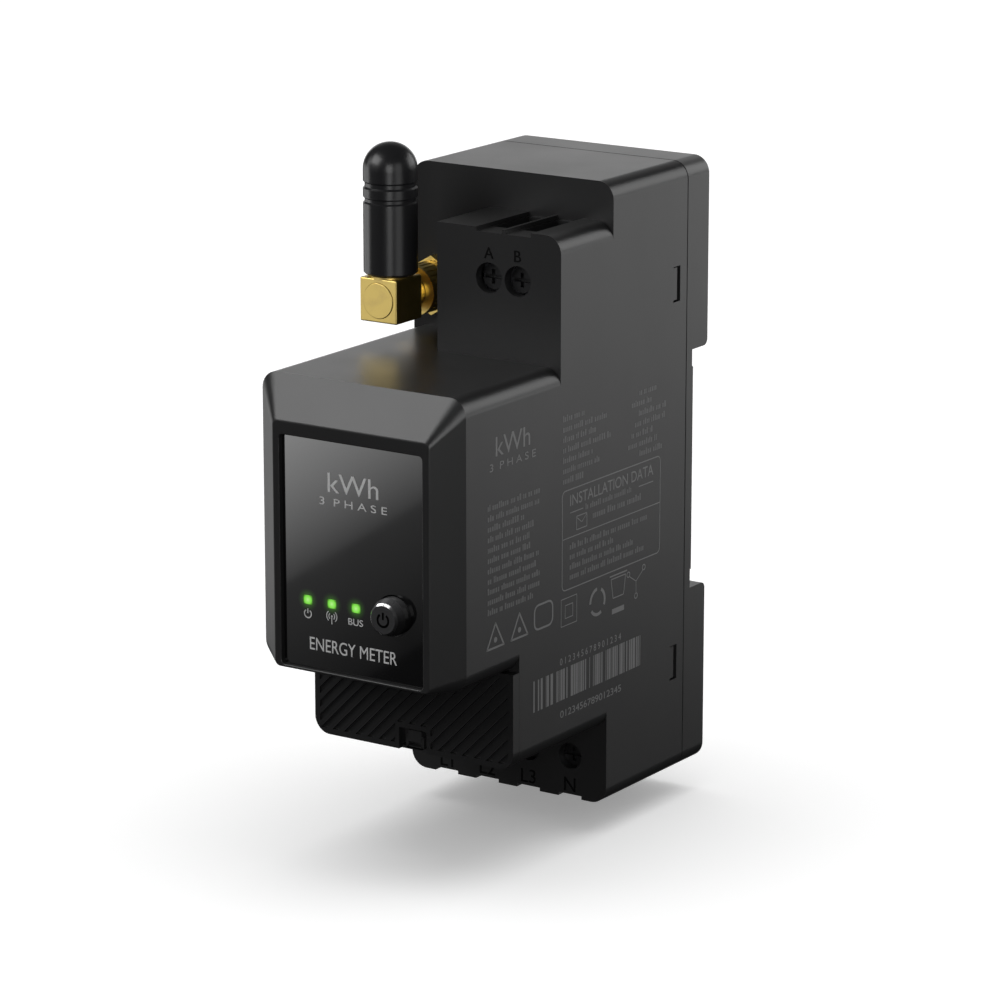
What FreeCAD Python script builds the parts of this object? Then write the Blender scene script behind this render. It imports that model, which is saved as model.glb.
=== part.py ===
"""Two-module smart electric meter for a 35 mm mounting rail, as separate named sub-parts.

Frame, in millimetres: +Z up, -Y towards the display, X = 0 in the middle of the width.
Y = 0 is the seat that the rail bears on, and Z = 0 is the rail's centre line.
"""
import FreeCAD
import Part
import math
import os
import Sketcher
from FreeCAD import Rotation, Vector

doc = FreeCAD.newDocument("smart_meter")
sheet = doc.addObject("Spreadsheet::Sheet", "dims")
products = []

SIZES = (
    ("case_width", 36.0, "two rail modules of 18 mm"),
    ("wall", 1.5, "moulded wall"),
    ("edge_radius", 2.7, "long outer edges of the case"),
    ("gap", 0.2, "clearance between sliding flat faces"),
    # levels along Z
    ("top_z", 48.3, "top of the upper block"),
    ("aux_top_z", 42.4, "top of the signal terminal block"),
    ("face_top_z", 22.9, "top of the display block"),
    ("face_bottom_z", -20.7, "underside of the display block"),
    ("ribs_bottom_z", -35.7, "underside of the ribbed block"),
    ("bottom_z", -47.9, "underside of the terminal block"),
    ("channel_top_z", 18.9, "upper side of the rail channel"),
    ("channel_bottom_z", -19.0, "lower side of the rail channel"),
    ("seat_relief", 0.3, "depth of the floor behind the hook and the latch nose"),
    # levels along Y
    ("back_y", 4.15, "back plane"),
    ("seam_y", -2.05, "seam between housing and rear cover"),
    ("upper_y", -23.15, "front of the upper block"),
    ("lower_y", -24.25, "front of the line terminal block"),
    ("aux_y", -37.35, "front of the signal terminal block"),
    ("ribs_y", -49.9, "front of the ribbed cover"),
    ("bezel_y", -62.05, "seam between housing and bezel"),
    ("front_y", -65.45, "front lip of the bezel"),
    ("aux_left_x", -3.9, "left side of the signal terminal block"),
    # bezel and window
    ("lip_half", 13.8, "half width of the front lip"),
    ("lip_top_z", 16.6, "top of the front lip"),
    ("lip_corner", 0.9, "corner radius of the front lip"),
    ("glass_half", 12.6, "half width of the window"),
    ("glass_top_z", 14.5, "top of the window"),
    ("glass_low_z", -20.2, "bottom of the window"),
    ("glass_y", -64.65, "face of the window"),
    ("glass_thick", 1.5, "window thickness"),
    ("ledge_thick", 1.0, "ledge behind the window"),
    ("skirt", 3.0, "length of the bezel's skirt"),
    ("light_z", -10.0, "height of lights and button"),
    ("light_x", -8.3, "first light"),
    ("light_pitch", 4.32, "pitch of the lights"),
    ("light_wide", 1.5, "light width"),
    ("light_tall", 1.3, "light height"),
    ("button_x", 7.05, "button centre"),
    ("button_radius", 2.85, "button cap"),
    ("button_hole", 3.1, "hole for the button cap"),
    ("button_face_y", -67.35, "button face"),
    ("button_travel", 0.5, "button stroke"),
    # ribbed cover
    ("cover_thick", 1.6, "ribbed cover"),
    ("rib_pitch", 2.15, "rib pitch along X"),
    ("groove_wide", 0.75, "groove between ribs"),
    ("groove_deep", 0.4, "groove depth"),
    ("rib_margin", 0.9, "plain margin around the ribs"),
    # terminals
    ("signal_pitch", 5.08, "signal terminal pitch"),
    ("signal_mid_x", 7.86, "middle of the signal terminals"),
    ("signal_z", 34.95, "signal screw axis"),
    ("signal_hole", 2.3, "signal screw hole radius"),
    ("line_pitch", 7.62, "line terminal pitch"),
    ("line_z", -41.2, "line screw axis"),
    ("line_hole", 2.05, "line screw hole radius"),
    ("screw_recess", 1.3, "screw head below the face"),
    ("head_radius", 1.9, "screw head"),
    ("head_thick", 1.8, "screw head"),
    ("shank_radius", 1.25, "screw shank"),
    ("shank_end", 6.9, "screw tip, just clear of the bar"),
    ("cage_wide", 4.2, "clamp cage outside width"),
    ("cage_side", 0.6, "clamp cage side wall"),
    ("cage_tall", 4.4, "clamp cage height"),
    ("cage_front", 5.6, "cage front behind the head's face, open"),
    ("cage_back", 11.8, "cage back behind the head's face, open"),
    ("cage_travel", 2.5, "clamp stroke"),
    ("bar_start", 7.0, "terminal bar behind the head's face"),
    ("bar_thick", 1.0, "terminal bar"),
    ("bar_wide", 2.6, "terminal bar"),
    ("entry_wide", 3.9, "wire entry width"),
    # antenna
    ("antenna_x", -13.4, "axis of the antenna jack"),
    ("antenna_z", 29.6, "axis of the antenna jack"),
    ("elbow_y", -35.8, "middle of the elbow block"),
    ("elbow_size", 6.7, "elbow block"),
    ("thread_radius", 3.1, "quarter-inch jack thread"),
    ("sleeve_radius", 4.1, "antenna sleeve"),
    ("sleeve_low", 3.75, "sleeve bottom above the elbow's middle"),
    ("sleeve_top", 23.6, "sleeve top above the elbow's middle"),
    # boards
    ("board_thick", 1.6, "circuit boards"),
    ("rear_board_y", -9.6, "front of the rear board"),
    ("front_board_y", -56.0, "front of the front board"),
    ("bridge_x", 1.2, "left side of the bridge board"),
    # rail latch
    ("latch_half", 7.0, "half width of the latch plate"),
    ("latch_rib_half", 4.8, "half width of the latch rib"),
    ("latch_nose_z", -16.2, "top of the latch nose"),
    ("latch_low_z", -46.8, "lower end of the latch"),
    ("latch_y", 1.25, "front of the latch plate"),
    ("latch_travel", 3.5, "latch stroke"),
    ("coil_radius", 1.0, "latch spring"),
    ("wire_radius", 0.2, "latch spring"),
)


def fill_sheet():
    """Write each driving dimension with its note and alias."""
    for row, (alias, size, note) in enumerate(SIZES, start=1):
        sheet.set(f"A{row}", note)
        sheet.set(f"B{row}", str(size))
        sheet.setAlias(f"B{row}", alias)
    doc.recompute()


def size(expression):
    """Value of an expression over the sheet."""
    return float(scale_object.evalExpression(expression))


# ---------------------------------------------------------------- PartDesign helpers

def new_body(label):
    """Empty body that is one sub-part."""
    body = doc.addObject("PartDesign::Body", label)
    body.Label = label
    products.append(body)
    return body


def place(item, x="0", y="0", z="0"):
    """Bind the place of a sub-part to the sheet."""
    for axis, expression in zip("xyz", (x, y, z)):
        item.setExpression(f"Placement.Base.{axis}", expression)


def sketch_on(body, name, role, offset="0"):
    """Sketch on an origin plane of its body, moved along the plane's normal."""
    sketch = body.newObject("Sketcher::SketchObject", f"{body.Label}_{name}")
    plane = next(item for item in body.Origin.OriginFeatures if item.Role == role)
    sketch.AttachmentSupport = [(plane, "")]
    sketch.MapMode = "FlatFace"
    sketch.setExpression("AttachmentOffset.Base.z", offset)
    return sketch


def pin_point(sketch, line, end, x, y):
    """Hold one line end at a place given by two expressions."""
    for kind, expression in (("DistanceX", x), ("DistanceY", y)):
        start = size(expression)
        if abs(start) < 1e-9:
            axis = -2 if kind == "DistanceX" else -1
            sketch.addConstraint(Sketcher.Constraint("PointOnObject", line, end, axis))
            continue
        index = sketch.addConstraint(Sketcher.Constraint(kind, -1, 1, line, end, start))
        sketch.setExpression(f"Constraints[{index}]", expression)


def add_polygon(sketch, corners):
    """Closed outline through corners, each a pair of expressions."""
    first = len(sketch.Geometry)
    points = [Vector(size(x), size(y), 0) for x, y in corners]
    count = len(points)
    for index in range(count):
        sketch.addGeometry(Part.LineSegment(points[index], points[(index + 1) % count]), False)
    for index, (x, y) in enumerate(corners):
        follower = first + (index + 1) % count
        sketch.addConstraint(Sketcher.Constraint("Coincident", first + index, 2, follower, 1))
        pin_point(sketch, first + index, 1, x, y)


def add_rectangle(sketch, low, high):
    """Rectangle between two corners, each a pair of expressions."""
    corners = (low, (high[0], low[1]), high, (low[0], high[1]))
    add_polygon(sketch, corners)


def add_circle(sketch, x, y, radius):
    """Circle with its centre and radius bound to expressions."""
    circle = Part.Circle(Vector(size(x), size(y), 0), Vector(0, 0, 1), size(radius))
    index = sketch.addGeometry(circle, False)
    pin_point(sketch, index, 3, x, y)
    rule = sketch.addConstraint(Sketcher.Constraint("Radius", index, size(radius)))
    sketch.setExpression(f"Constraints[{rule}]", radius)


def add_rounded_rectangle(sketch, low, high, low_radius, high_radius):
    """Rectangle with rounded corners: one radius below and one above."""
    left, bottom = size(low[0]), size(low[1])
    right, top = size(high[0]), size(high[1])
    small, large = size(low_radius), size(high_radius)
    sides = (
        (Vector(left + small, bottom, 0), Vector(right - small, bottom, 0)),
        (Vector(right, bottom + small, 0), Vector(right, top - large, 0)),
        (Vector(right - large, top, 0), Vector(left + large, top, 0)),
        (Vector(left, top - large, 0), Vector(left, bottom + small, 0)),
    )
    rounds = (
        (Vector(right - small, bottom + small, 0), small, -90, low_radius),
        (Vector(right - large, top - large, 0), large, 0, high_radius),
        (Vector(left + large, top - large, 0), large, 90, high_radius),
        (Vector(left + small, bottom + small, 0), small, 180, low_radius),
    )
    for (start, end), (centre, radius, angle, expression) in zip(sides, rounds):
        sketch.addGeometry(Part.LineSegment(start, end), False)
        circle = Part.Circle(centre, Vector(0, 0, 1), radius)
        begin = math.radians(angle)
        sketch.addGeometry(Part.ArcOfCircle(circle, begin, begin + math.pi / 2), False)
    for index, (_, _, _, expression) in enumerate(rounds):
        line, arc, follower = 2 * index, 2 * index + 1, (2 * index + 2) % 8
        sketch.addConstraint(Sketcher.Constraint("Tangent", line, 2, arc, 1))
        sketch.addConstraint(Sketcher.Constraint("Tangent", arc, 2, follower, 1))
        kind = "Horizontal" if index % 2 == 0 else "Vertical"
        sketch.addConstraint(Sketcher.Constraint(kind, line))
        if index in (0, 1):
            rule = sketch.addConstraint(Sketcher.Constraint("Radius", arc, size(expression)))
            sketch.setExpression(f"Constraints[{rule}]", expression)
    sketch.addConstraint(Sketcher.Constraint("Equal", 1, 7))
    sketch.addConstraint(Sketcher.Constraint("Equal", 3, 5))
    edges = (("DistanceY", 0, low[1]), ("DistanceX", 2, high[0]),
             ("DistanceY", 4, high[1]), ("DistanceX", 6, low[0]))
    for kind, line, expression in edges:
        rule = sketch.addConstraint(Sketcher.Constraint(kind, -1, 1, line, 1, size(expression)))
        sketch.setExpression(f"Constraints[{rule}]", expression)


def solid_volume(body):
    """Volume of a body after a recompute."""
    doc.recompute()
    return body.Shape.Volume


def pad(body, sketch, length, both_ways=False, backwards=False):
    """Pad a sketch along its normal."""
    feature = body.newObject("PartDesign::Pad", f"{sketch.Name}_pad")
    feature.Profile = sketch
    feature.setExpression("Length", length)
    if both_ways:
        feature.SideType = "Symmetric"
    feature.Reversed = backwards
    sketch.Visibility = False
    return feature


def pocket(body, sketch, length, both_ways=False, backwards=False):
    """Cut a sketch into its body, and stop if nothing was removed."""
    before = solid_volume(body)
    feature = body.newObject("PartDesign::Pocket", f"{sketch.Name}_cut")
    feature.Profile = sketch
    feature.setExpression("Length", length)
    if both_ways:
        feature.SideType = "Symmetric"
    feature.Reversed = backwards
    if solid_volume(body) > before - 1e-6:
        raise RuntimeError(f"{feature.Name} cuts nothing")
    return feature


def pad_box(body, name, low, high):
    """Add a box between two corners, each three expressions."""
    sketch = sketch_on(body, name, "XY_Plane", low[2])
    add_rectangle(sketch, low[:2], high[:2])
    return pad(body, sketch, f"({high[2]}) - ({low[2]})")


def cut_box(body, name, low, high):
    """Remove a box between two corners, each three expressions."""
    sketch = sketch_on(body, name, "XY_Plane", low[2])
    add_rectangle(sketch, low[:2], high[:2])
    return pocket(body, sketch, f"({high[2]}) - ({low[2]})", backwards=True)


def cut_round(body, name, x, z, radius, front, depth):
    """Drill along +Y from a front plane."""
    sketch = sketch_on(body, name, "XZ_Plane", f"-({front})")
    add_circle(sketch, x, z, radius)
    return pocket(body, sketch, depth)


def pad_round(body, name, x, z, radius, front, depth):
    """Add a round boss that runs along +Y from a front plane."""
    sketch = sketch_on(body, name, "XZ_Plane", f"-({front})")
    add_circle(sketch, x, z, radius)
    return pad(body, sketch, depth, backwards=True)


def revolve(body, name, role, corners):
    """Turn a profile of (radius, height) corners about the sketch's upright axis."""
    sketch = sketch_on(body, name, role)
    add_polygon(sketch, corners)
    feature = body.newObject("PartDesign::Revolution", f"{sketch.Name}_turn")
    feature.Profile = sketch
    feature.ReferenceAxis = (sketch, ["V_Axis"])
    feature.Angle = 360
    doc.recompute()
    return feature


def round_edges(body, radius, wanted):
    """Fillet the edges of the body's tip that pass a test."""
    doc.recompute()
    tip = body.Tip
    names = [f"Edge{index}" for index, edge in enumerate(tip.Shape.Edges, start=1) if wanted(edge)]
    if not names:
        raise RuntimeError(f"{body.Label} has no edge to round")
    feature = body.newObject("PartDesign::Fillet", f"{tip.Name}_round")
    feature.Base = (tip, names)
    feature.setExpression("Radius", radius)
    doc.recompute()
    return feature


def runs_along(edge, axis):
    """Whether a straight edge runs along the axis numbered 0, 1 or 2."""
    if not isinstance(edge.Curve, Part.Line):
        return False
    return abs(abs(edge.tangentAt(edge.FirstParameter)[axis]) - 1) < 1e-6


def at_half_width(edge):
    """Whether an edge lies in a side face of the case."""
    return abs(abs(edge.CenterOfMass.x) - size("dims.case_width / 2")) < 1e-3


# ---------------------------------------------------------------- Part helpers

def box(name, low, high):
    """Part box between two corners, each three expressions."""
    item = doc.addObject("Part::Box", name)
    for kind, start, end in zip(("Length", "Width", "Height"), low, high):
        item.setExpression(kind, f"({end}) - ({start})")
    place(item, *low)
    return item


def rod(name, radius, start, end):
    """Part cylinder along +Y about the local axis, between two distances."""
    item = doc.addObject("Part::Cylinder", name)
    item.setExpression("Radius", radius)
    item.setExpression("Height", f"({end}) - ({start})")
    item.Placement.Rotation = Rotation(Vector(1, 0, 0), -90)
    item.setExpression("Placement.Base.y", start)
    return item


def fuse(name, items):
    """Join solids into one."""
    result = doc.addObject("Part::MultiFuse", name)
    result.Shapes = items
    result.Refine = True
    return result


def cut(name, base, tools):
    """Take one or more solids out of another."""
    tool = tools[0] if len(tools) == 1 else fuse(f"{name}_tools", tools)
    result = doc.addObject("Part::Cut", name)
    result.Base = base
    result.Tool = tool
    return result


def group(label, items):
    """Keep separate like solids as one sub-part."""
    result = doc.addObject("Part::Compound", label)
    result.Links = items
    return product(result, label)


def product(item, label):
    """Register a finished Part object as a sub-part."""
    item.Label = label
    products.append(item)
    return item


# ---------------------------------------------------------------- case

def main_housing():
    """Stepped shell that carries everything, open at the back and at the display."""
    body = new_body("main_housing")
    ribs_wall = "dims.ribs_y + dims.cover_thick + 0.05"
    outline = sketch_on(body, "outline", "YZ_Plane")
    add_polygon(outline, (
        ("dims.seam_y", "dims.bottom_z"), ("dims.lower_y", "dims.bottom_z"),
        ("dims.lower_y", "dims.ribs_bottom_z"), (ribs_wall, "dims.ribs_bottom_z"),
        (ribs_wall, "dims.face_bottom_z"), ("dims.bezel_y", "dims.face_bottom_z"),
        ("dims.bezel_y", "dims.face_top_z"), ("dims.upper_y", "dims.face_top_z"),
        ("dims.upper_y", "dims.top_z"), ("dims.seam_y", "dims.top_z")))
    pad(body, outline, "dims.case_width", both_ways=True)
    pad_box(body, "signal_block",
            ("dims.aux_left_x", "dims.aux_y", "dims.face_top_z"),
            ("dims.case_width / 2", "dims.upper_y", "dims.aux_top_z"))
    round_edges(body, "dims.edge_radius", lambda edge: runs_along(edge, 1) and at_half_width(edge))
    hollow_housing(body, ribs_wall)
    cut_signal_openings(body)
    cut_line_openings(body)
    cut_round(body, "jack_hole", "dims.antenna_x", "dims.antenna_z",
              "dims.thread_radius + 0.1", "dims.upper_y - 1", "dims.wall + 2")
    cut_snap_windows(body)
    cut_cover_opening(body, ribs_wall)


def hollow_housing(body, ribs_wall):
    """Take out the inside, leaving the wall."""
    inside = sketch_on(body, "inside", "YZ_Plane")
    add_polygon(inside, (
        ("dims.seam_y + 1", "dims.bottom_z + dims.wall"),
        ("dims.lower_y + dims.wall", "dims.bottom_z + dims.wall"),
        ("dims.lower_y + dims.wall", "dims.ribs_bottom_z + dims.wall"),
        (f"{ribs_wall} + dims.wall", "dims.ribs_bottom_z + dims.wall"),
        (f"{ribs_wall} + dims.wall", "dims.face_bottom_z + dims.wall"),
        ("dims.bezel_y - 1", "dims.face_bottom_z + dims.wall"),
        ("dims.bezel_y - 1", "dims.face_top_z - dims.wall"),
        ("dims.upper_y + dims.wall", "dims.face_top_z - dims.wall"),
        ("dims.upper_y + dims.wall", "dims.top_z - dims.wall"),
        ("dims.seam_y + 1", "dims.top_z - dims.wall")))
    pocket(body, inside, "dims.case_width - 2 * dims.wall", both_ways=True)
    cut_box(body, "signal_inside",
            ("dims.aux_left_x + dims.wall", "dims.aux_y + dims.wall", "dims.face_top_z - dims.wall - 1"),
            ("dims.case_width / 2 - dims.wall", "dims.upper_y + dims.wall + 1",
             "dims.aux_top_z - dims.wall"))


def cut_signal_openings(body):
    """Notches, wire entries and screw holes of the two signal terminals."""
    for name, x in SIGNAL_TERMINALS:
        cut_box(body, f"{name}_notch",
                (f"{x} - 2.3", "dims.aux_y - 1", "dims.aux_top_z - 0.65"),
                (f"{x} + 2.3", "dims.upper_y", "dims.aux_top_z + 1"))
        cut_box(body, f"{name}_entry",
                (f"{x} - dims.entry_wide / 2", "dims.aux_y + 4.3", "dims.aux_top_z - dims.wall - 0.5"),
                (f"{x} + dims.entry_wide / 2", "dims.upper_y - 0.6", "dims.aux_top_z"))
        cut_round(body, f"{name}_hole", x, "dims.signal_z", "dims.signal_hole",
                  "dims.aux_y - 1", "dims.wall + 2")


def cut_line_openings(body):
    """Notches, wire entries and screw holes of the four line terminals."""
    for name, x in LINE_TERMINALS:
        cut_box(body, f"{name}_notch",
                (f"{x} - 2.1", "dims.lower_y - 1", "dims.bottom_z - 1"),
                (f"{x} + 2.1", "dims.lower_y + 16", "dims.bottom_z + 0.55"))
        cut_box(body, f"{name}_entry",
                (f"{x} - dims.entry_wide / 2", "dims.lower_y + 5", "dims.bottom_z"),
                (f"{x} + dims.entry_wide / 2", "dims.lower_y + 13", "dims.bottom_z + dims.wall + 0.5"))
        cut_round(body, f"{name}_hole", x, "dims.line_z", "dims.line_hole",
                  "dims.lower_y - 1", "dims.wall + 2")


def cut_snap_windows(body):
    """Side windows that the rear cover's hooks snap into."""
    for side in (-1, 1):
        for level in (-1, 1):
            cut_box(body, f"snap_{side + 1}_{level + 1}",
                    (f"{side} * (dims.case_width / 2 - dims.wall - 0.5)", "dims.seam_y - 3.95",
                     f"{level} * 29.95 - 2.75"),
                    (f"{side} * (dims.case_width / 2 + 1)", "dims.seam_y - 2", f"{level} * 29.95 + 2.75"))


def cut_cover_opening(body, ribs_wall):
    """Access opening behind the ribbed cover, with the catch that the cover's notch clears."""
    cut_box(body, "access",
            ("-13.2", f"{ribs_wall} - 1", "dims.ribs_bottom_z + 4.6"),
            ("13.2", f"{ribs_wall} + dims.wall + 0.5", "dims.face_bottom_z - 1.9"))
    cut_box(body, "cover_release",
            ("-2.4", f"{ribs_wall} - 1", "dims.ribs_bottom_z - 1"),
            ("2.4", f"{ribs_wall} + 2.4", "dims.ribs_bottom_z + 0.6"))
    pad_box(body, "catch",
            ("-1.2", f"{ribs_wall} - 1.1", "dims.ribs_bottom_z + 1.3"),
            ("1.2", f"{ribs_wall} + 0.2", "dims.ribs_bottom_z + 3.1"))


def rear_cover():
    """Back shell with the rail channel, the upper rail hook and the latch guide."""
    body = new_body("rear_cover")
    outline = sketch_on(body, "outline", "YZ_Plane")
    add_polygon(outline, (
        ("dims.seam_y", "dims.bottom_z"), ("dims.back_y", "dims.bottom_z"),
        ("dims.back_y", "dims.channel_bottom_z"), ("0", "dims.channel_bottom_z"),
        ("0", "dims.channel_top_z"), ("dims.back_y", "dims.channel_top_z"),
        ("dims.back_y", "dims.top_z"), ("dims.seam_y", "dims.top_z")))
    pad(body, outline, "dims.case_width", both_ways=True)
    round_edges(body, "dims.edge_radius", is_outer_long_edge)
    round_edges(body, "1", is_channel_lip)
    relieve_seat(body)
    cut_box(body, "upper_inside",
            ("-dims.case_width / 2 + dims.wall", "dims.seam_y - 1", "dims.channel_top_z + dims.wall"),
            ("dims.case_width / 2 - dims.wall", "dims.back_y - dims.wall", "dims.top_z - dims.wall"))
    cut_box(body, "lower_inside",
            ("-dims.case_width / 2 + dims.wall", "dims.seam_y - 1", "dims.bottom_z + dims.wall"),
            ("dims.case_width / 2 - dims.wall", "dims.latch_y - 1.4", "dims.channel_bottom_z - dims.wall"))
    cut_latch_guide(body)
    pad_box(body, "rail_hook",
            ("-10", "1.45", "dims.channel_top_z - 2.5"), ("10", "3.1", "dims.channel_top_z + 0.5"))
    add_snap_hooks(body)


def is_outer_long_edge(edge):
    """Long edges along Y at the case's four corners."""
    height = abs(edge.CenterOfMass.z)
    return runs_along(edge, 1) and at_half_width(edge) and height > size("dims.top_z - 1")


def is_channel_lip(edge):
    """Back edges on both sides of the rail channel."""
    middle = edge.CenterOfMass
    at_back = abs(middle.y - size("dims.back_y")) < 1e-3
    return runs_along(edge, 0) and at_back and abs(middle.z) < size("dims.channel_top_z + 1")


def relieve_seat(body):
    """Set the channel floor back where the hook and the latch nose overhang it."""
    cut_box(body, "upper_relief",
            ("-dims.case_width / 2 - 1", "-dims.seat_relief", "dims.channel_top_z - 2.7"),
            ("dims.case_width / 2 + 1", "1", "dims.channel_top_z"))
    cut_box(body, "lower_relief",
            ("-dims.case_width / 2 - 1", "-dims.seat_relief", "dims.channel_bottom_z"),
            ("dims.case_width / 2 + 1", "1", "dims.latch_nose_z + 0.2"))


def cut_latch_guide(body):
    """T-shaped guide for the latch, open at both ends, with the spring's peg."""
    cut_box(body, "guide_wide",
            ("-dims.latch_half - dims.gap", "dims.latch_y - 0.1", "dims.bottom_z - 1"),
            ("dims.latch_half + dims.gap", "dims.latch_y + 1.4", "dims.channel_bottom_z + 1"))
    cut_box(body, "guide_mouth",
            ("-dims.latch_rib_half - dims.gap", "dims.latch_y + 1.3", "dims.bottom_z - 1"),
            ("dims.latch_rib_half + dims.gap", "dims.back_y + 1", "dims.channel_bottom_z + 1"))
    pad_box(body, "spring_peg",
            ("-1.8", "dims.latch_y - 0.3", "-34"), ("1.8", "dims.back_y - 0.35", "-32.5"))


def add_snap_hooks(body):
    """Four tongues with hooks that show in the housing's side windows."""
    for side in (-1, 1):
        for level in (-1, 1):
            middle = f"{level} * 29.95"
            pad_box(body, f"root_{side + 1}_{level + 1}",
                    (f"{side} * (dims.case_width / 2 - dims.wall - 1.3)", "dims.seam_y",
                     f"{middle} - 2.5"),
                    (f"{side} * (dims.case_width / 2 - dims.wall + 0.3)", "dims.seam_y + 1.6",
                     f"{middle} + 2.5"))
            pad_box(body, f"tongue_{side + 1}_{level + 1}",
                    (f"{side} * (dims.case_width / 2 - dims.wall - 1.3)", "dims.seam_y - 5.5",
                     f"{middle} - 2.5"),
                    (f"{side} * (dims.case_width / 2 - dims.wall - 0.1)", "dims.seam_y + 0.8",
                     f"{middle} + 2.5"))
            pad_box(body, f"hook_{side + 1}_{level + 1}",
                    (f"{side} * (dims.case_width / 2 - dims.wall - 0.6)", "dims.seam_y - 3.8",
                     f"{middle} - 2.5"),
                    (f"{side} * (dims.case_width / 2 - 0.5)", "dims.seam_y - 2.6", f"{middle} + 2.5"))


def front_bezel():
    """Bevelled frame around the window, lofted from the case's outline to the front lip."""
    body = new_body("front_bezel")
    base = sketch_on(body, "base", "XZ_Plane", "-(dims.bezel_y)")
    add_rounded_rectangle(base, ("-dims.case_width / 2", "dims.face_bottom_z"),
                          ("dims.case_width / 2", "dims.face_top_z"),
                          "dims.edge_radius", "dims.edge_radius")
    lip = sketch_on(body, "lip", "XZ_Plane", "-(dims.front_y)")
    add_rounded_rectangle(lip, ("-dims.lip_half", "dims.face_bottom_z"),
                          ("dims.lip_half", "dims.lip_top_z"), "dims.lip_corner", "dims.lip_corner")
    loft = body.newObject("PartDesign::AdditiveLoft", "bezel_loft")
    loft.Profile = base
    loft.Sections = [lip]
    doc.recompute()
    skirt = sketch_on(body, "skirt", "XZ_Plane", "-(dims.bezel_y)")
    add_rectangle(skirt, ("-dims.case_width / 2 + dims.wall + 0.1", "dims.face_bottom_z + dims.wall + 0.1"),
                  ("dims.case_width / 2 - dims.wall - 0.1", "dims.face_top_z - dims.wall - 0.1"))
    pad(body, skirt, "dims.skirt", backwards=True)
    cut_box(body, "skirt_inside",
            ("-dims.case_width / 2 + 2 * dims.wall", "dims.bezel_y + 0.1", "dims.face_bottom_z + 2 * dims.wall"),
            ("dims.case_width / 2 - 2 * dims.wall", "dims.bezel_y + dims.skirt + 1",
             "dims.face_top_z - 2 * dims.wall"))
    recess = sketch_on(body, "recess", "XZ_Plane", "-(dims.front_y - 1)")
    add_rounded_rectangle(recess, ("-dims.glass_half - 0.05", "dims.glass_low_z - 0.05"),
                          ("dims.glass_half + 0.05", "dims.glass_top_z + 0.05"), "0.65", "0.65")
    pocket(body, recess, "dims.glass_y + dims.glass_thick - dims.front_y + 1")
    cut_box(body, "opening",
            ("-dims.glass_half + 1.4", "dims.front_y", "dims.glass_low_z + 1.6"),
            ("dims.glass_half - 1.4", "dims.bezel_y + 1", "dims.glass_top_z - 1.4"))


def display_window():
    """Dark window with openings for the three lights and the button."""
    body = new_body("display_window")
    sheet_face = sketch_on(body, "pane", "XZ_Plane", "-(dims.glass_y)")
    add_rounded_rectangle(sheet_face, ("-dims.glass_half", "dims.glass_low_z"),
                          ("dims.glass_half", "dims.glass_top_z"), "0.6", "0.6")
    pad(body, sheet_face, "dims.glass_thick", backwards=True)
    for index in range(3):
        x = f"(dims.light_x + {index} * dims.light_pitch)"
        cut_box(body, f"light_{index}",
                (f"{x} - dims.light_wide / 2 - 0.05", "dims.glass_y - 1",
                 "dims.light_z - dims.light_tall / 2 - 0.05"),
                (f"{x} + dims.light_wide / 2 + 0.05", "dims.glass_y + dims.glass_thick + 1",
                 "dims.light_z + dims.light_tall / 2 + 0.05"))
    cut_round(body, "button_hole", "dims.button_x", "dims.light_z", "dims.button_hole",
              "dims.glass_y - 1", "dims.glass_thick + 2")


def ribbed_cover():
    """Pull-off cover below the display, with slanted ribs between plain margins."""
    half = "(dims.case_width / 2)"
    low = "dims.ribs_bottom_z"
    high = "dims.face_bottom_z - dims.gap"
    back = "dims.ribs_y + dims.cover_thick"
    blank = box("cover_blank", (f"-{half}", "dims.ribs_y", low), (half, back, high))
    doc.recompute()
    rounded = doc.addObject("Part::Fillet", "cover_rounded")
    rounded.Base = blank
    corners = [index for index, edge in enumerate(blank.Shape.Edges, start=1)
               if runs_along(edge, 1) and edge.CenterOfMass.z < size(low) + 1]
    rounded.Edges = [(index, size("dims.edge_radius"), size("dims.edge_radius")) for index in corners]
    clips = []
    for side in (-1, 1):
        inner = f"{12.3 if side > 0 else -13.0}"
        outer = f"{13.0 if side > 0 else -12.3}"
        clips.append(box(f"cover_clip_{side + 1}", (inner, f"{back} - 0.1", f"{low} + 5.2"),
                         (outer, f"{back} + 4", f"{high} - 2.4")))
    region = box("rib_region", (f"-{half} + dims.rib_margin", "dims.ribs_y - 1", f"{low} + dims.rib_margin"),
                 (f"{half} - dims.rib_margin", "dims.ribs_y + dims.groove_deep", f"{high} - 0.6"))
    keep = box("rib_keep", ("-3.2", "dims.ribs_y - 2", low), ("3.2", "dims.ribs_y + 2", f"{low} + 4.2"))
    count = int(size("(dims.case_width + 18) / dims.rib_pitch"))
    grooves = []
    for index in range(count):
        groove = doc.addObject("Part::Box", f"groove_{index}")
        groove.Length = 26
        groove.setExpression("Width", "dims.groove_deep + 1")
        groove.setExpression("Height", "dims.groove_wide")
        groove.Placement.Rotation = Rotation(Vector(0, 1, 0), -45)
        place(groove, f"-{half} - 17 + {index} * dims.rib_pitch", "dims.ribs_y - 1", f"{low} - 1")
        grooves.append(groove)
    pattern = doc.addObject("Part::Common", "rib_pattern")
    pattern.Base = cut("rib_area", region, [keep])
    pattern.Tool = fuse("rib_grooves", grooves)
    notch = box("cover_notch", ("-2.5", "dims.ribs_y - 1", f"{low} - 1"),
                ("2.5", f"{back} + 1", f"{low} + 3.4"))
    product(cut("ribbed_cover", fuse("cover_plain", [rounded] + clips), [pattern, notch]), "ribbed_cover")


# ---------------------------------------------------------------- lights and button

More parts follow.
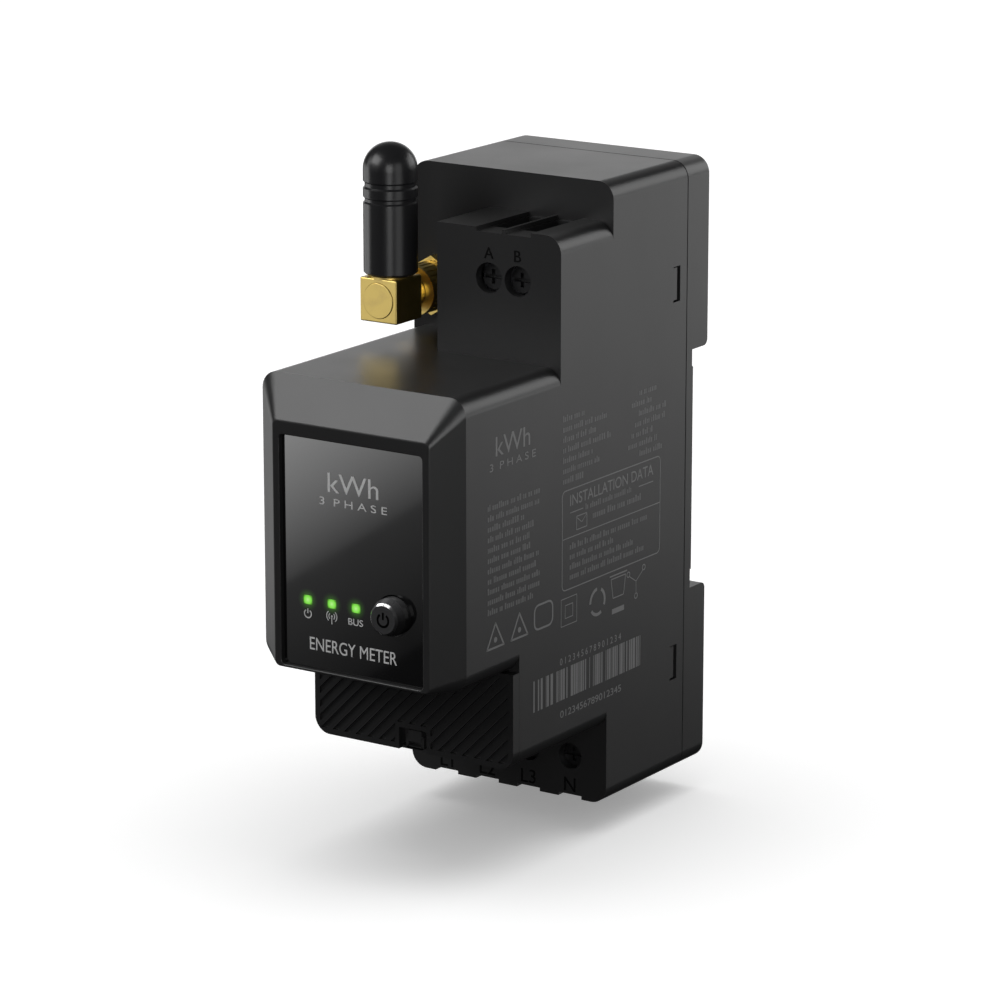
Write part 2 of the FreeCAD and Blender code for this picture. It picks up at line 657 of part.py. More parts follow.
def lens_carrier():
    """Plate behind the window that holds the light guides and steers the button."""
    body = new_body("lens_carrier")
    front = "dims.bezel_y + 0.1"
    pad_box(body, "plate", ("-12.6", front, "-17.6"), ("12.6", f"{front} + 1", "12"))
    for index in range(3):
        x = f"(dims.light_x + {index} * dims.light_pitch)"
        cut_box(body, f"light_{index}",
                (f"{x} - dims.light_wide / 2", f"{front} - 1", "dims.light_z - dims.light_tall / 2"),
                (f"{x} + dims.light_wide / 2", f"{front} + 2", "dims.light_z + dims.light_tall / 2"))
    cut_round(body, "stem_hole", "dims.button_x", "dims.light_z", "1.4", f"{front} - 1", "3")


def status_lenses():
    """Three light guides that end flush with the window."""
    guides = []
    for index in range(3):
        x = f"(dims.light_x + {index} * dims.light_pitch)"
        guides.append(box(f"light_guide_{index}",
                          (f"{x} - dims.light_wide / 2", "dims.glass_y",
                           "dims.light_z - dims.light_tall / 2"),
                          (f"{x} + dims.light_wide / 2", "dims.front_board_y - 0.8",
                           "dims.light_z + dims.light_tall / 2")))
    group("status_lenses", guides)


def status_leds():
    """Three light-emitting chips on the front board."""
    chips = []
    for index in range(3):
        x = f"(dims.light_x + {index} * dims.light_pitch)"
        chips.append(box(f"led_{index}", (f"{x} - 0.8", "dims.front_board_y - 0.7", "dims.light_z - 0.4"),
                         (f"{x} + 0.8", "dims.front_board_y", "dims.light_z + 0.4")))
    group("status_leds", chips)


def power_button():
    """Turned cap with a flange that stops it at the window and a stem to the switch."""
    body = new_body("power_button")
    flange = "dims.glass_y + dims.glass_thick + 0.1 - dims.button_face_y"
    revolve(body, "profile", "XY_Plane", (
        ("0", "0"), ("dims.button_radius - 0.75", "0"), ("dims.button_radius - 0.45", "0.3"),
        ("dims.button_radius", "1.6"), ("dims.button_radius", flange), ("3.4", flange),
        ("3.4", f"{flange} + 0.4"), ("1.2", f"{flange} + 0.4"),
        ("1.2", "-60.6 - dims.button_face_y"), ("0", "-60.6 - dims.button_face_y")))
    place(body, "dims.button_x", "dims.button_face_y", "dims.light_z")


def switch_plunger():
    """Plunger that the button's stem pushes."""
    item = rod("switch_plunger", "1.5", "-60.6", "-58.6")
    place(item, "dims.button_x", "-60.6", "dims.light_z")
    product(item, "switch_plunger")


def tact_switch():
    """Switch case on the front board."""
    case = box("switch_case", ("dims.button_x - 3", "-59.4", "dims.light_z - 3"),
               ("dims.button_x + 3", "dims.front_board_y", "dims.light_z + 3"))
    well = rod("switch_well", "1.6", "-60", "-58")
    place(well, "dims.button_x", "-60", "dims.light_z")
    product(cut("tact_switch", case, [well]), "tact_switch")


# ---------------------------------------------------------------- terminals

def terminal_head(face):
    """Y of a screw head's face."""
    return f"({face} + dims.screw_recess)"


def terminal_screw(name, x, face, z):
    """Slotted clamp screw, turned about its own axis."""
    head = rod(f"{name}_head", "dims.head_radius", "0", "dims.head_thick")
    shank = rod(f"{name}_shank", "dims.shank_radius", "dims.head_thick - 0.2", "dims.shank_end")
    slot = box(f"{name}_slot", ("-dims.head_radius - 1", "-1", "-0.3"), ("dims.head_radius + 1", "0.8", "0.3"))
    upright = box(f"{name}_cross", ("-0.3", "-1", "-1.1"), ("0.3", "0.7", "1.1"))
    screw = cut(f"screw_{name}", fuse(f"{name}_blank", [head, shank]), [slot, upright])
    place(screw, x, terminal_head(face), z)
    product(screw, f"screw_{name}")


def clamp_cage(name, x, face, z):
    """Frame that the screw draws forwards to grip the wire against the bar."""
    half = "dims.cage_wide / 2"
    outer = box(f"{name}_frame", (f"-{half}", "dims.cage_front", "-dims.cage_tall / 2"),
                (half, "dims.cage_back", "dims.cage_tall / 2"))
    space = box(f"{name}_space", (f"-{half} + dims.cage_side", "dims.cage_front + 1.2", "-dims.cage_tall"),
                (f"{half} - dims.cage_side", "dims.cage_back - 1", "dims.cage_tall"))
    thread = rod(f"{name}_thread", "dims.shank_radius + 0.05", "dims.cage_front - 1", "dims.cage_front + 2")
    cage = cut(f"cage_{name}", outer, [space, thread])
    place(cage, x, terminal_head(face), z)
    product(cage, f"cage_{name}")


def terminal_bar(name, x, face, z, wire_side):
    """Fixed bar that the screw's tip bears on, bent back to the rear board."""
    start = f"{terminal_head(face)} + dims.bar_start"
    half = "dims.bar_wide / 2"
    near = f"{z} + {2.1 * wire_side}"
    far = f"{z} - {6.4 * wire_side}"
    low, high = (far, near) if wire_side > 0 else (near, far)
    strip = box(f"{name}_strip", (f"{x} - {half}", start, low),
                (f"{x} + {half}", f"{start} + dims.bar_thick", high))
    tail_low, tail_high = (far, f"{far} + 1") if wire_side > 0 else (f"{far} - 1", far)
    tail = box(f"{name}_tail", (f"{x} - {half}", f"{start} + 0.5", tail_low),
               (f"{x} + {half}", "dims.rear_board_y", tail_high))
    return fuse(f"{name}_bar", [strip, tail])


def terminal_carrier(label, terminals, face, z, low, high):
    """Insulating block with one slot for each cage."""
    front = f"{terminal_head(face)} + dims.head_thick + 0.05"
    back = f"{terminal_head(face)} + dims.cage_back"
    first, last = terminals[0][1], terminals[-1][1]
    block = box(f"{label}_block", (f"{first} - 2.9", front, f"{z} + {low}"),
                (f"{last} + 2.9", f"{back} + 0.8", f"{z} + {high}"))
    tools = []
    for name, x in terminals:
        tools.append(box(f"{label}_{name}_slot",
                         (f"{x} - dims.cage_wide / 2 - 0.15", f"{front} + 1", f"{z} + {low} - 1"),
                         (f"{x} + dims.cage_wide / 2 + 0.15", f"{back} + 0.2", f"{z} + {high} + 1")))
        hole = rod(f"{label}_{name}_hole", "dims.shank_radius + 0.15", "-1", "2")
        place(hole, x, f"{front} - 1", z)
        tools.append(hole)
    product(cut(label, block, tools), label)


def terminals():
    """Screws, cages, bars and carriers of the signal and line terminals."""
    sets = (("signal", SIGNAL_TERMINALS, "dims.aux_y", "dims.signal_z", 1, "-3.4", "5.7"),
            ("line", LINE_TERMINALS, "dims.lower_y", "dims.line_z", -1, "-4.9", "3.4"))
    for label, terminals_here, face, z, wire_side, low, high in sets:
        for name, x in terminals_here:
            terminal_screw(name, x, face, z)
            clamp_cage(name, x, face, z)
        bars = [terminal_bar(name, x, face, z, wire_side) for name, x in terminals_here]
        group(f"{label}_bars", bars)
        terminal_carrier(f"{label}_carrier", terminals_here, face, z, low, high)


# ---------------------------------------------------------------- antenna

def antenna_jack():
    """Threaded jack through the notch's back wall, with a flange behind the wall."""
    body = new_body("antenna_jack")
    revolve(body, "profile", "XY_Plane", (
        ("0.6", "-5.75"), ("0.6", "-2"), ("0", "-2"), ("0", "11.9"), ("0.6", "11.9"), ("0.6", "9"),
        ("2.2", "9"), ("2.2", "3"), ("3", "3"), ("3", "dims.wall"), ("dims.thread_radius", "dims.wall"),
        ("dims.thread_radius", "-5.5"), ("dims.thread_radius - 0.25", "-5.75")))
    pad_box(body, "flange", ("-2.95", "dims.wall + 0.05", "-4.5"), ("2.95", "3", "4.5"))
    place(body, "dims.antenna_x", "dims.upper_y", "dims.antenna_z")


def flat_ring(label, outer, inner, start, end):
    """Washer about the jack's axis."""
    body = new_body(label)
    ring = sketch_on(body, "ring", "XZ_Plane", f"-({start})")
    add_circle(ring, "0", "0", outer)
    add_circle(ring, "0", "0", inner)
    pad(body, ring, f"({end}) - ({start})", backwards=True)
    place(body, "dims.antenna_x", "dims.upper_y", "dims.antenna_z")
    return body


def jack_nut():
    """Hexagon nut that clamps the jack to the wall."""
    body = new_body("jack_nut")
    flats, half = "4", "(4 / cos(30))"
    outline = sketch_on(body, "hexagon", "XZ_Plane", "2.15")
    add_polygon(outline, ((flats, f"-{half} / 2"), (flats, f"{half} / 2"), ("0", half),
                          (f"-{flats}", f"{half} / 2"), (f"-{flats}", f"-{half} / 2"), ("0", f"-{half}")))
    add_circle(outline, "0", "0", "dims.thread_radius + 0.03")
    pad(body, outline, "1.6", backwards=True)
    place(body, "dims.antenna_x", "dims.upper_y", "dims.antenna_z")


def coupling_nut():
    """Knurled nut that draws the elbow onto the jack's thread."""
    body = flat_ring("coupling_nut", "3.85", "dims.thread_radius + 0.06", "-6.95", "-2.35")
    face = sketch_on(body, "face", "XZ_Plane", "6.95")
    add_circle(face, "0", "0", "3.5")
    add_circle(face, "0", "0", "2.4")
    pad(body, face, "0.9", backwards=True)
    knurl = sketch_on(body, "knurl", "XZ_Plane", "6.35")
    add_circle(knurl, "3.95", "0", "0.26")
    notch = pocket(body, knurl, "3.4")
    pattern = body.newObject("PartDesign::PolarPattern", "knurl_pattern")
    pattern.Originals = [notch]
    pattern.Axis = (sketch_on(body, "axis", "XZ_Plane"), ["N_Axis"])
    pattern.Angle = 360
    pattern.Occurrences = 28
    body.Tip = pattern


def antenna_elbow():
    """Square elbow block with the neck to the jack and the stub that carries the sleeve."""
    body = new_body("antenna_elbow")
    half = "dims.elbow_size / 2"
    pad_box(body, "block", (f"-{half}", f"-{half}", f"-{half}"), (half, half, half))
    round_edges(body, "0.25", lambda edge: True)
    reach = "dims.upper_y - dims.elbow_y"
    pad_round(body, "neck", "0", "0", "2.3", f"{half} - 0.2", f"{reach} - 5.85 - {half} + 0.2")
    pad_round(body, "pin", "0", "0", "0.5", f"{reach} - 6", "2.6")
    collar = sketch_on(body, "collar", "XY_Plane", f"{half} - 0.2")
    add_circle(collar, "0", "0", "3.4")
    pad(body, collar, "0.4")
    stub = sketch_on(body, "stub", "XY_Plane", half)
    add_circle(stub, "0", "0", "2.5")
    pad(body, stub, "3")
    cut_round(body, "cap_seat", "0", "0", "2.75", f"-{half} - 1", "1.8")
    place(body, "dims.antenna_x", "dims.elbow_y", "dims.antenna_z")


def elbow_cap():
    """Pressed round cap that closes the elbow's front."""
    body = new_body("elbow_cap")
    pad_round(body, "disc", "0", "0", "2.72", "-dims.elbow_size / 2 - 0.15", "0.9")
    round_edges(body, "0.12", lambda edge: edge.CenterOfMass.y < -3.3 and not runs_along(edge, 1))
    place(body, "dims.antenna_x", "dims.elbow_y", "dims.antenna_z")


def antenna_sleeve():
    """Domed rubber sleeve with two shallow grooves."""
    body = new_body("antenna_sleeve")
    outer = "dims.sleeve_radius"
    profile = [("2.6", "dims.sleeve_low"), (f"{outer} - 0.3", "dims.sleeve_low"),
               (outer, "dims.sleeve_low + 0.3")]
    for middle, width in ((15.0, 0.9), (17.3, 1.1)):
        profile += [(outer, f"{middle - width / 2}"), (f"{outer} - 0.25", f"{middle - width / 4}"),
                    (f"{outer} - 0.25", f"{middle + width / 4}"), (outer, f"{middle + width / 2}")]
    profile += [(outer, "dims.sleeve_top"), ("0", "dims.sleeve_top"), ("0", "18"), ("2.6", "18")]
    revolve(body, "profile", "XZ_Plane", profile)
    round_edges(body, f"{outer} - 0.1",
                lambda edge: edge.CenterOfMass.z > size("dims.sleeve_top") - 0.1 and not runs_along(edge, 2))
    place(body, "dims.antenna_x", "dims.elbow_y", "dims.antenna_z")


def antenna_whip():
    """Radiating rod inside the sleeve."""
    body = new_body("antenna_whip")
    rod_sketch = sketch_on(body, "rod", "XY_Plane", "dims.elbow_size / 2 + 3")
    add_circle(rod_sketch, "0", "0", "0.7")
    pad(body, rod_sketch, "11")
    place(body, "dims.antenna_x", "dims.elbow_y", "dims.antenna_z")


# ---------------------------------------------------------------- rail latch

def rail_latch():
    """Sliding foot whose nose holds the rail's lower edge."""
    body = new_body("rail_latch")
    back = "dims.latch_y + 1.2"
    pad_box(body, "plate", ("-dims.latch_half", "dims.latch_y", "dims.latch_low_z"),
            ("dims.latch_half", back, "dims.latch_nose_z"))
    pad_box(body, "rib", ("-dims.latch_rib_half", f"{back} - 0.1", "dims.latch_low_z"),
            ("dims.latch_rib_half", "dims.back_y - 0.15", "dims.channel_bottom_z - 0.5"))
    nose = sketch_on(body, "nose_slope", "YZ_Plane")
    add_polygon(nose, ((f"{back} + 0.1", "dims.latch_nose_z - 2"), (f"{back} + 0.1", "dims.latch_nose_z + 0.1"),
                       ("dims.latch_y + 0.5", "dims.latch_nose_z + 0.1")))
    pocket(body, nose, "dims.latch_half * 2 + 2", both_ways=True)
    cut_box(body, "spring_window", ("-2", "dims.latch_y - 1", "-34.1"), ("2", "dims.back_y + 1", "-21"))
    cut_box(body, "tool_slot", ("-2.4", "dims.latch_y - 1", "-45.4"), ("2.4", "dims.back_y + 1", "-43.6"))


def latch_spring():
    """Compression coil between the cover's peg and the latch."""
    body = new_body("latch_spring")
    wire = sketch_on(body, "wire", "XZ_Plane")
    add_circle(wire, "dims.coil_radius", "dims.wire_radius", "dims.wire_radius")
    coil = body.newObject("PartDesign::AdditiveHelix", "coil")
    coil.Profile = wire
    coil.ReferenceAxis = (wire, ["V_Axis"])
    coil.Mode = "height-turns-angle"
    coil.setExpression("Height", "11.3 - 2 * dims.wire_radius")
    coil.Turns = 9
    place(body, "0", "dims.latch_y + 1.4", "-32.4")


# ---------------------------------------------------------------- electronics

def rear_board():
    """Board that carries the terminals, the supply and the radio."""
    product(box("rear_board", ("-15.6", "dims.rear_board_y", "-43.8"),
                ("15.6", "dims.rear_board_y + dims.board_thick", "44.8")), "rear_board")


def front_board():
    """Board with the lights and the button's switch."""
    product(box("front_board", ("-13.6", "dims.front_board_y", "-16.6"),
                ("13.6", "dims.front_board_y + dims.board_thick", "11")), "front_board")


def bridge_board():
    """Board that joins front to rear, with a leg that carries the transformer header."""
    right = "dims.bridge_x + dims.board_thick"
    span = box("bridge_span", ("dims.bridge_x", "dims.front_board_y + dims.board_thick", "-15"),
               (right, "dims.rear_board_y", "10"))
    leg = box("bridge_leg", ("dims.bridge_x", "-44", "-32.4"), (right, "-36", "-14"))
    product(fuse("bridge_board", [span, leg]), "bridge_board")


def board_headers():
    """Pin headers at both ends of the bridge board."""
    right = "dims.bridge_x + dims.board_thick"
    front_edge = "dims.front_board_y + dims.board_thick"
    ends = [box("header_front", (right, front_edge, "-12"), (f"{right} + 2.5", f"{front_edge} + 6", "8")),
            box("header_rear", (right, "dims.rear_board_y - 6", "-12"),
                (f"{right} + 2.5", "dims.rear_board_y", "8"))]
    group("board_headers", ends)


def ct_header():
    """Plug-in header for the current transformers, behind the ribbed cover."""
    case = box("header_case", ("-11.6", "-46.3", "-31.6"), ("dims.bridge_x", "-38", "-24"))
    mouth = box("header_mouth", ("-10.8", "-47", "-30.8"), ("0.2", "-40", "-24.8"))
    product(cut("ct_header", case, [mouth]), "ct_header")


def radio_module():
    """Shielded radio on the rear board, beside the jack's solder end."""
    product(box("radio_module", ("-14.6", "dims.rear_board_y - 2.6", "0"),
                ("-1.6", "dims.rear_board_y", "20")), "radio_module")


def supply_transformer():
    """Small mains transformer: core and winding."""
    core = box("transformer_core", ("-14", "-23.6", "-20"), ("-2", "dims.rear_board_y", "-6"))
    winding = box("transformer_winding", ("-13", "-22.6", "-22.6"), ("-3", "-11", "-3.4"))
    product(fuse("supply_transformer", [core, winding]), "supply_transformer")


def capacitors():
    """Two supply capacitors standing on the rear board."""
    cans = []
    for name, radius, length, z in (("large", "4", "15", "-14"), ("small", "3.1", "11", "-4.5")):
        can = rod(f"capacitor_{name}", radius, "0", length)
        place(can, "10", f"dims.rear_board_y - {length}", z)
        cans.append(can)
    group("capacitors", cans)


def check_and_export():
    """Stop on any broken object, then write one STEP file for each sub-part."""
    doc.recompute()
    for item in doc.Objects:
        if any(word in item.State for word in ("Invalid", "Error")):
            raise RuntimeError(f"{item.Label} is {item.State}")
    for item in products:
        if item.Shape.isNull() or not item.Shape.isValid() or item.Shape.Volume <= 0:
            raise RuntimeError(f"{item.Label} has no sound solid")
    os.makedirs("parts", exist_ok=True)
    for item in products:
        item.Shape.exportStep(f"parts/{item.Label}.step")


fill_sheet()
scale_object = doc.addObject("App::FeaturePython", "reader")
SIGNAL_TERMINALS = (("a", "(dims.signal_mid_x - dims.signal_pitch / 2)"),
                    ("b", "(dims.signal_mid_x + dims.signal_pitch / 2)"))
LINE_TERMINALS = tuple((name, f"({step} * dims.line_pitch)")
                       for name, step in (("l1", -1.5), ("l2", -0.5), ("l3", 0.5), ("n", 1.5)))

main_housing()
rear_cover()
front_bezel()
display_window()
ribbed_cover()
lens_carrier()
status_lenses()
status_leds()
power_button()
switch_plunger()
tact_switch()
terminals()
antenna_jack()
flat_ring("jack_washer", "4.2", "dims.thread_radius + 0.05", "-0.5", "0")
jack_nut()
coupling_nut()
antenna_elbow()
elbow_cap()
antenna_sleeve()
antenna_whip()
rail_latch()
latch_spring()
rear_board()
front_board()
bridge_board()
board_headers()
ct_header()
radio_module()
supply_transformer()
capacitors()
check_and_export()
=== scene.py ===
"""Finishes, printing and studio for a two-module smart electric meter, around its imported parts."""

import math
import random

import bmesh
import bpy
from bpy.props import FloatProperty, FloatVectorProperty, IntProperty, PointerProperty, StringProperty
from mathutils import Matrix, Vector


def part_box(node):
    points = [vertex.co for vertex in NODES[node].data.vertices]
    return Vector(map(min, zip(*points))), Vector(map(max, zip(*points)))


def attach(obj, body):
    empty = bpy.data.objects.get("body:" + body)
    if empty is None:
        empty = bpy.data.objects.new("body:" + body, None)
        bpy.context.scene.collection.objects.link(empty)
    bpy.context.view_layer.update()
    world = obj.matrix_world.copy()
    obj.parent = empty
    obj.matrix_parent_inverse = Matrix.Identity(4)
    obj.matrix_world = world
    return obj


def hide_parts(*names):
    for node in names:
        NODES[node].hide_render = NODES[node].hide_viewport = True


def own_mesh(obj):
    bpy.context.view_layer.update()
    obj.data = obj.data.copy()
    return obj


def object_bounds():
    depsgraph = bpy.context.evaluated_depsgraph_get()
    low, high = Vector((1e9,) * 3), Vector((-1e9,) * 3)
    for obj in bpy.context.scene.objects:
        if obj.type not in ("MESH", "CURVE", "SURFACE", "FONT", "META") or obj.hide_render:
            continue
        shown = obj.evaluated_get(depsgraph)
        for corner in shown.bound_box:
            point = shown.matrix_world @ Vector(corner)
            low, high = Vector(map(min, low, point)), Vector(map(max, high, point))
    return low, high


bl_info = {
    "name": "Smart electric meter",
    "version": (1, 0, 0),
    "blender": (4, 5, 0),
    "location": "View3D > Sidebar > Meter",
    "description": "Finishes, prints and lights a rail-mounted electric meter",
    "category": "Object",
}

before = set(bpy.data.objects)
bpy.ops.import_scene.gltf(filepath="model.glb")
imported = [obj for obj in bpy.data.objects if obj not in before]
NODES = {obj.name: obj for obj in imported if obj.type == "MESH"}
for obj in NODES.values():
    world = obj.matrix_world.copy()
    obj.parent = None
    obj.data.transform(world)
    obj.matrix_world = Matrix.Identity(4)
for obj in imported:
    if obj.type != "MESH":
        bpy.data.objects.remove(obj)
CAD_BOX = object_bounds()
MM = 0.001
FACING_FRONT = ((1, 0, 0), (0, 0, 1))
FACING_RIGHT = ((0, 1, 0), (0, 0, 1))


def in_mm(value):
    """A length given in millimetres, as metres."""
    return value * MM


COVER_THICK = in_mm(1.6)
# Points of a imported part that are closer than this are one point.
MERGE = 1e-6
# The snap hooks' outer faces: their distance from the middle, their depths, and how far they are brought out.
HOOK_FACE = in_mm(17.5)
HOOK_DEPTHS = (in_mm(-6), in_mm(-4.5))
HOOK_RAISE = in_mm(0.3)
# The seam of housing and rear cover: its depth, and the nearest that its outer rim comes to the middle.
SEAM_DEPTH = in_mm(-2.05)
RIM_SIDE = in_mm(16.5)
RIM_TOP = in_mm(46.8)
RIM_BOTTOM = in_mm(-46.4)
# Depth of the line where the bezel's slopes end against its sides.
SLOPE_BACK = in_mm(-62.2)
# Width of one status light, and how far from its middle its lens still glows.
LIGHT_WIDE = in_mm(1.5)
LENS_REACH = in_mm(0.94)
FLOOR_HALF = 6.0
FLOOR_GLOW = 0.32
# Grey levels of the surroundings, from straight down to straight up.
SKY = ((0.0, 0.01), (0.45, 0.015), (0.6, 0.03), (1.0, 0.08))
# Brightness across the window's light: dim up to a sharp edge, then rising.
SHEEN = ((0.0, 0.01), (0.3, 0.05), (0.306, 0.09), (1.0, 1.0))
# The camera's place in metres, and its tilt and turn in degrees.
CAMERA_PLACE = (0.36174, -0.56781, 0.16574)
CAMERA_TILT = 75.56
CAMERA_TURN = 33.75


# ---------------------------------------------------------------- shader maths

class Value:
    """A socket of one node tree that takes part in Python arithmetic."""

    def __init__(self, shade, socket):
        self.shade = shade
        self.socket = socket

    def math(self, operation, *others):
        """Math node over this value and up to two more."""
        fed = {0: self}
        fed.update({place + 1: other for place, other in enumerate(others)})
        made = self.shade.node("ShaderNodeMath", {"operation": operation}, fed)
        return Value(self.shade, made.outputs[0])

    def __add__(self, other):
        return self.math("ADD", other)

    __radd__ = __add__

    def __mul__(self, other):
        return self.math("MULTIPLY", other)

    __rmul__ = __mul__

    def __sub__(self, other):
        return self.math("SUBTRACT", other)

    def __rsub__(self, other):
        return (self * -1) + other

    def __truediv__(self, other):
        return self.math("DIVIDE", other)

    def clamped(self):
        """This value held between zero and one."""
        return self.math("MAXIMUM", 0.0).math("MINIMUM", 1.0)


class Shade:
    """One material and the nodes that make it."""

    def __init__(self, name):
        self.material = bpy.data.materials.new(name)
        self.material.use_nodes = True
        self.tree = self.material.node_tree
        self.shader = self.tree.nodes["Principled BSDF"]
        self.place = self.node("ShaderNodeTexCoord").outputs["Object"]

    def node(self, kind, settings=None, sockets=None):
        """Node of a kind, with its settings made first and then its sockets fed."""
        made = self.tree.nodes.new(kind)
        for name, value in (settings or {}).items():
            setattr(made, name, value)
        for key, value in (sockets or {}).items():
            self.feed(made.inputs[key], value)
        return made

    def feed(self, socket, value):
        """Link a value or output to a socket, or set the socket's own number or colour."""
        if isinstance(value, Value):
            value = value.socket
        if isinstance(value, bpy.types.NodeSocket):
            self.tree.links.new(value, socket)
        elif socket.type == "RGBA":
            socket.default_value = (*value[:3], 1.0)
        else:
            socket.default_value = value

    def surface(self, **sockets):
        """Feed sockets of the surface shader, named with underscores for spaces."""
        for name, value in sockets.items():
            self.feed(self.shader.inputs[name.replace("_", " ")], value)
        return self

    def noise(self, size, detail=3.0, stretch=(1.0, 1.0, 1.0), roughness=0.55):
        """Noise with features of about one size, in metres."""
        mapped = self.node("ShaderNodeMapping", None, {"Vector": self.place, "Scale": stretch})
        made = self.node("ShaderNodeTexNoise", None, {
            "Vector": mapped.outputs[0], "Scale": 1.0 / size, "Detail": detail, "Roughness": roughness})
        return Value(self, made.outputs[0])

    def cells(self, size):
        """Distance inside Voronoi cells of about one size, in metres."""
        made = self.node("ShaderNodeTexVoronoi", None, {"Vector": self.place, "Scale": 1.0 / size})
        return Value(self, made.outputs[0])

    def ranged(self, value, low, high):
        """A zero-to-one value spread over another range."""
        return value * (high - low) + low

    def mix(self, factor, first, second):
        """Colour between two colours."""
        made = self.node("ShaderNodeMix", {"data_type": "RGBA"}, {0: factor, 6: first, 7: second})
        return made.outputs[2]

    def distance_to(self, point):
        """Distance from a point, in metres."""
        made = self.node("ShaderNodeVectorMath", {"operation": "DISTANCE"}, {0: self.place, 1: point})
        return Value(self, made.outputs[1])

    def bump(self, height, depth):
        """Bump of a height value over a depth in metres, for the normal."""
        made = self.node("ShaderNodeBump", None, {"Height": height, "Distance": depth, "Strength": 1.0})
        return made.outputs[0]


def grey_stops(node, stops):
    """Place the stops of a colour ramp node, each a position and a grey level."""
    ramp = node.color_ramp
    while len(ramp.elements) < len(stops):
        ramp.elements.new(1.0)
    for element, (position, level) in zip(ramp.elements, stops):
        element.position = position
        element.color = (level, level, level, 1)


def dress(shade, *nodes):
    """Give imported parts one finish."""
    for name in nodes:
        for slot in NODES[name].material_slots:
            slot.material = shade.material


def darker(colour, share):
    """Colour scaled by a share."""
    return tuple(channel * share for channel in colour[:3])


# ---------------------------------------------------------------- finishes

def moulded_plastic(name, colour, roughness, grain, depth):
    """Injection-moulded plastic: eroded grain, slow drift of tone and gloss, faint handling marks."""
    drift = 0.12
    shade = Shade(name)
    slow = shade.noise(0.03, 2.0)
    fine = shade.noise(grain, 2.0, roughness=0.7)
    pits = shade.cells(grain * 2.2)
    smears = shade.noise(0.012, 4.0, (1.0, 1.0, 0.35))
    tone = shade.mix(slow, darker(colour, 1 - drift), darker(colour, 1 + drift))
    tone = shade.mix((fine * 0.35).clamped(), tone, darker(colour, 1.35))
    gloss = shade.ranged(slow, -0.02, 0.02) + shade.ranged(smears, -0.035, 0.035) + roughness
    height = fine * 0.7 + pits * 0.3
    shade.surface(Base_Color=tone, Roughness=gloss, Normal=shade.bump(height, depth))
    return shade


def coated_metal(name, colour, roughness, tarnish, stretch=(1.0, 1.0, 1.0)):
    """Plated metal: fine lay of the tool or plating, spots of tarnish and uneven gloss."""
    shade = Shade(name)
    lay = shade.noise(0.0004, 3.0, stretch)
    clouds = shade.noise(0.0035, 4.0)
    stain = ((clouds - 0.55) * 3.0).clamped()
    tone = shade.mix(stain, colour, tarnish)
    gloss = shade.ranged(lay, -0.04, 0.04) + stain * 0.08 + roughness
    shade.surface(Base_Color=tone, Metallic=1.0, Roughness=gloss, Normal=shade.bump(lay, 0.000004))
    return shade


def ink(name, colour, roughness=0.55):
    """Printed ink with an uneven film."""
    shade = Shade(name)
    film = shade.noise(0.0003, 3.0)
    wear = shade.noise(0.004, 3.0)
    tone = shade.mix(film, darker(colour, 0.86), darker(colour, 1.08))
    tone = shade.mix(((wear - 0.5) * 0.8).clamped(), tone, darker(colour, 0.75))
    shade.surface(Base_Color=tone, Roughness=shade.ranged(film, -0.06, 0.06) + roughness,
                  Normal=shade.bump(film, 0.000004))
    return shade


def circuit_board(name):
    """Solder mask with copper tracks under it and tinned dots."""
    shade = Shade(name)
    rows = shade.node("ShaderNodeTexBrick", {"offset": 0.37, "squash": 1.6, "squash_frequency": 3}, {
        "Vector": shade.place, "Scale": 420.0, "Mortar Size": 0.05, "Mortar Smooth": 0.2,
        "Color1": (0, 0, 0), "Color2": (0, 0, 0), "Mortar": (1, 1, 1)})
    tracks = Value(shade, rows.outputs["Fac"])
    dots = shade.cells(0.0022).math("LESS_THAN", 0.16)
    mask = shade.mix(tracks, (0.012, 0.105, 0.045), (0.03, 0.2, 0.085))
    tone = shade.mix(dots, mask, (0.62, 0.6, 0.55))
    shade.surface(Base_Color=tone, Roughness=shade.ranged(shade.noise(0.002), 0.28, 0.42),
                  Metallic=dots, Normal=shade.bump(tracks, 0.00004))
    return shade


# ---------------------------------------------------------------- flat shapes on a face

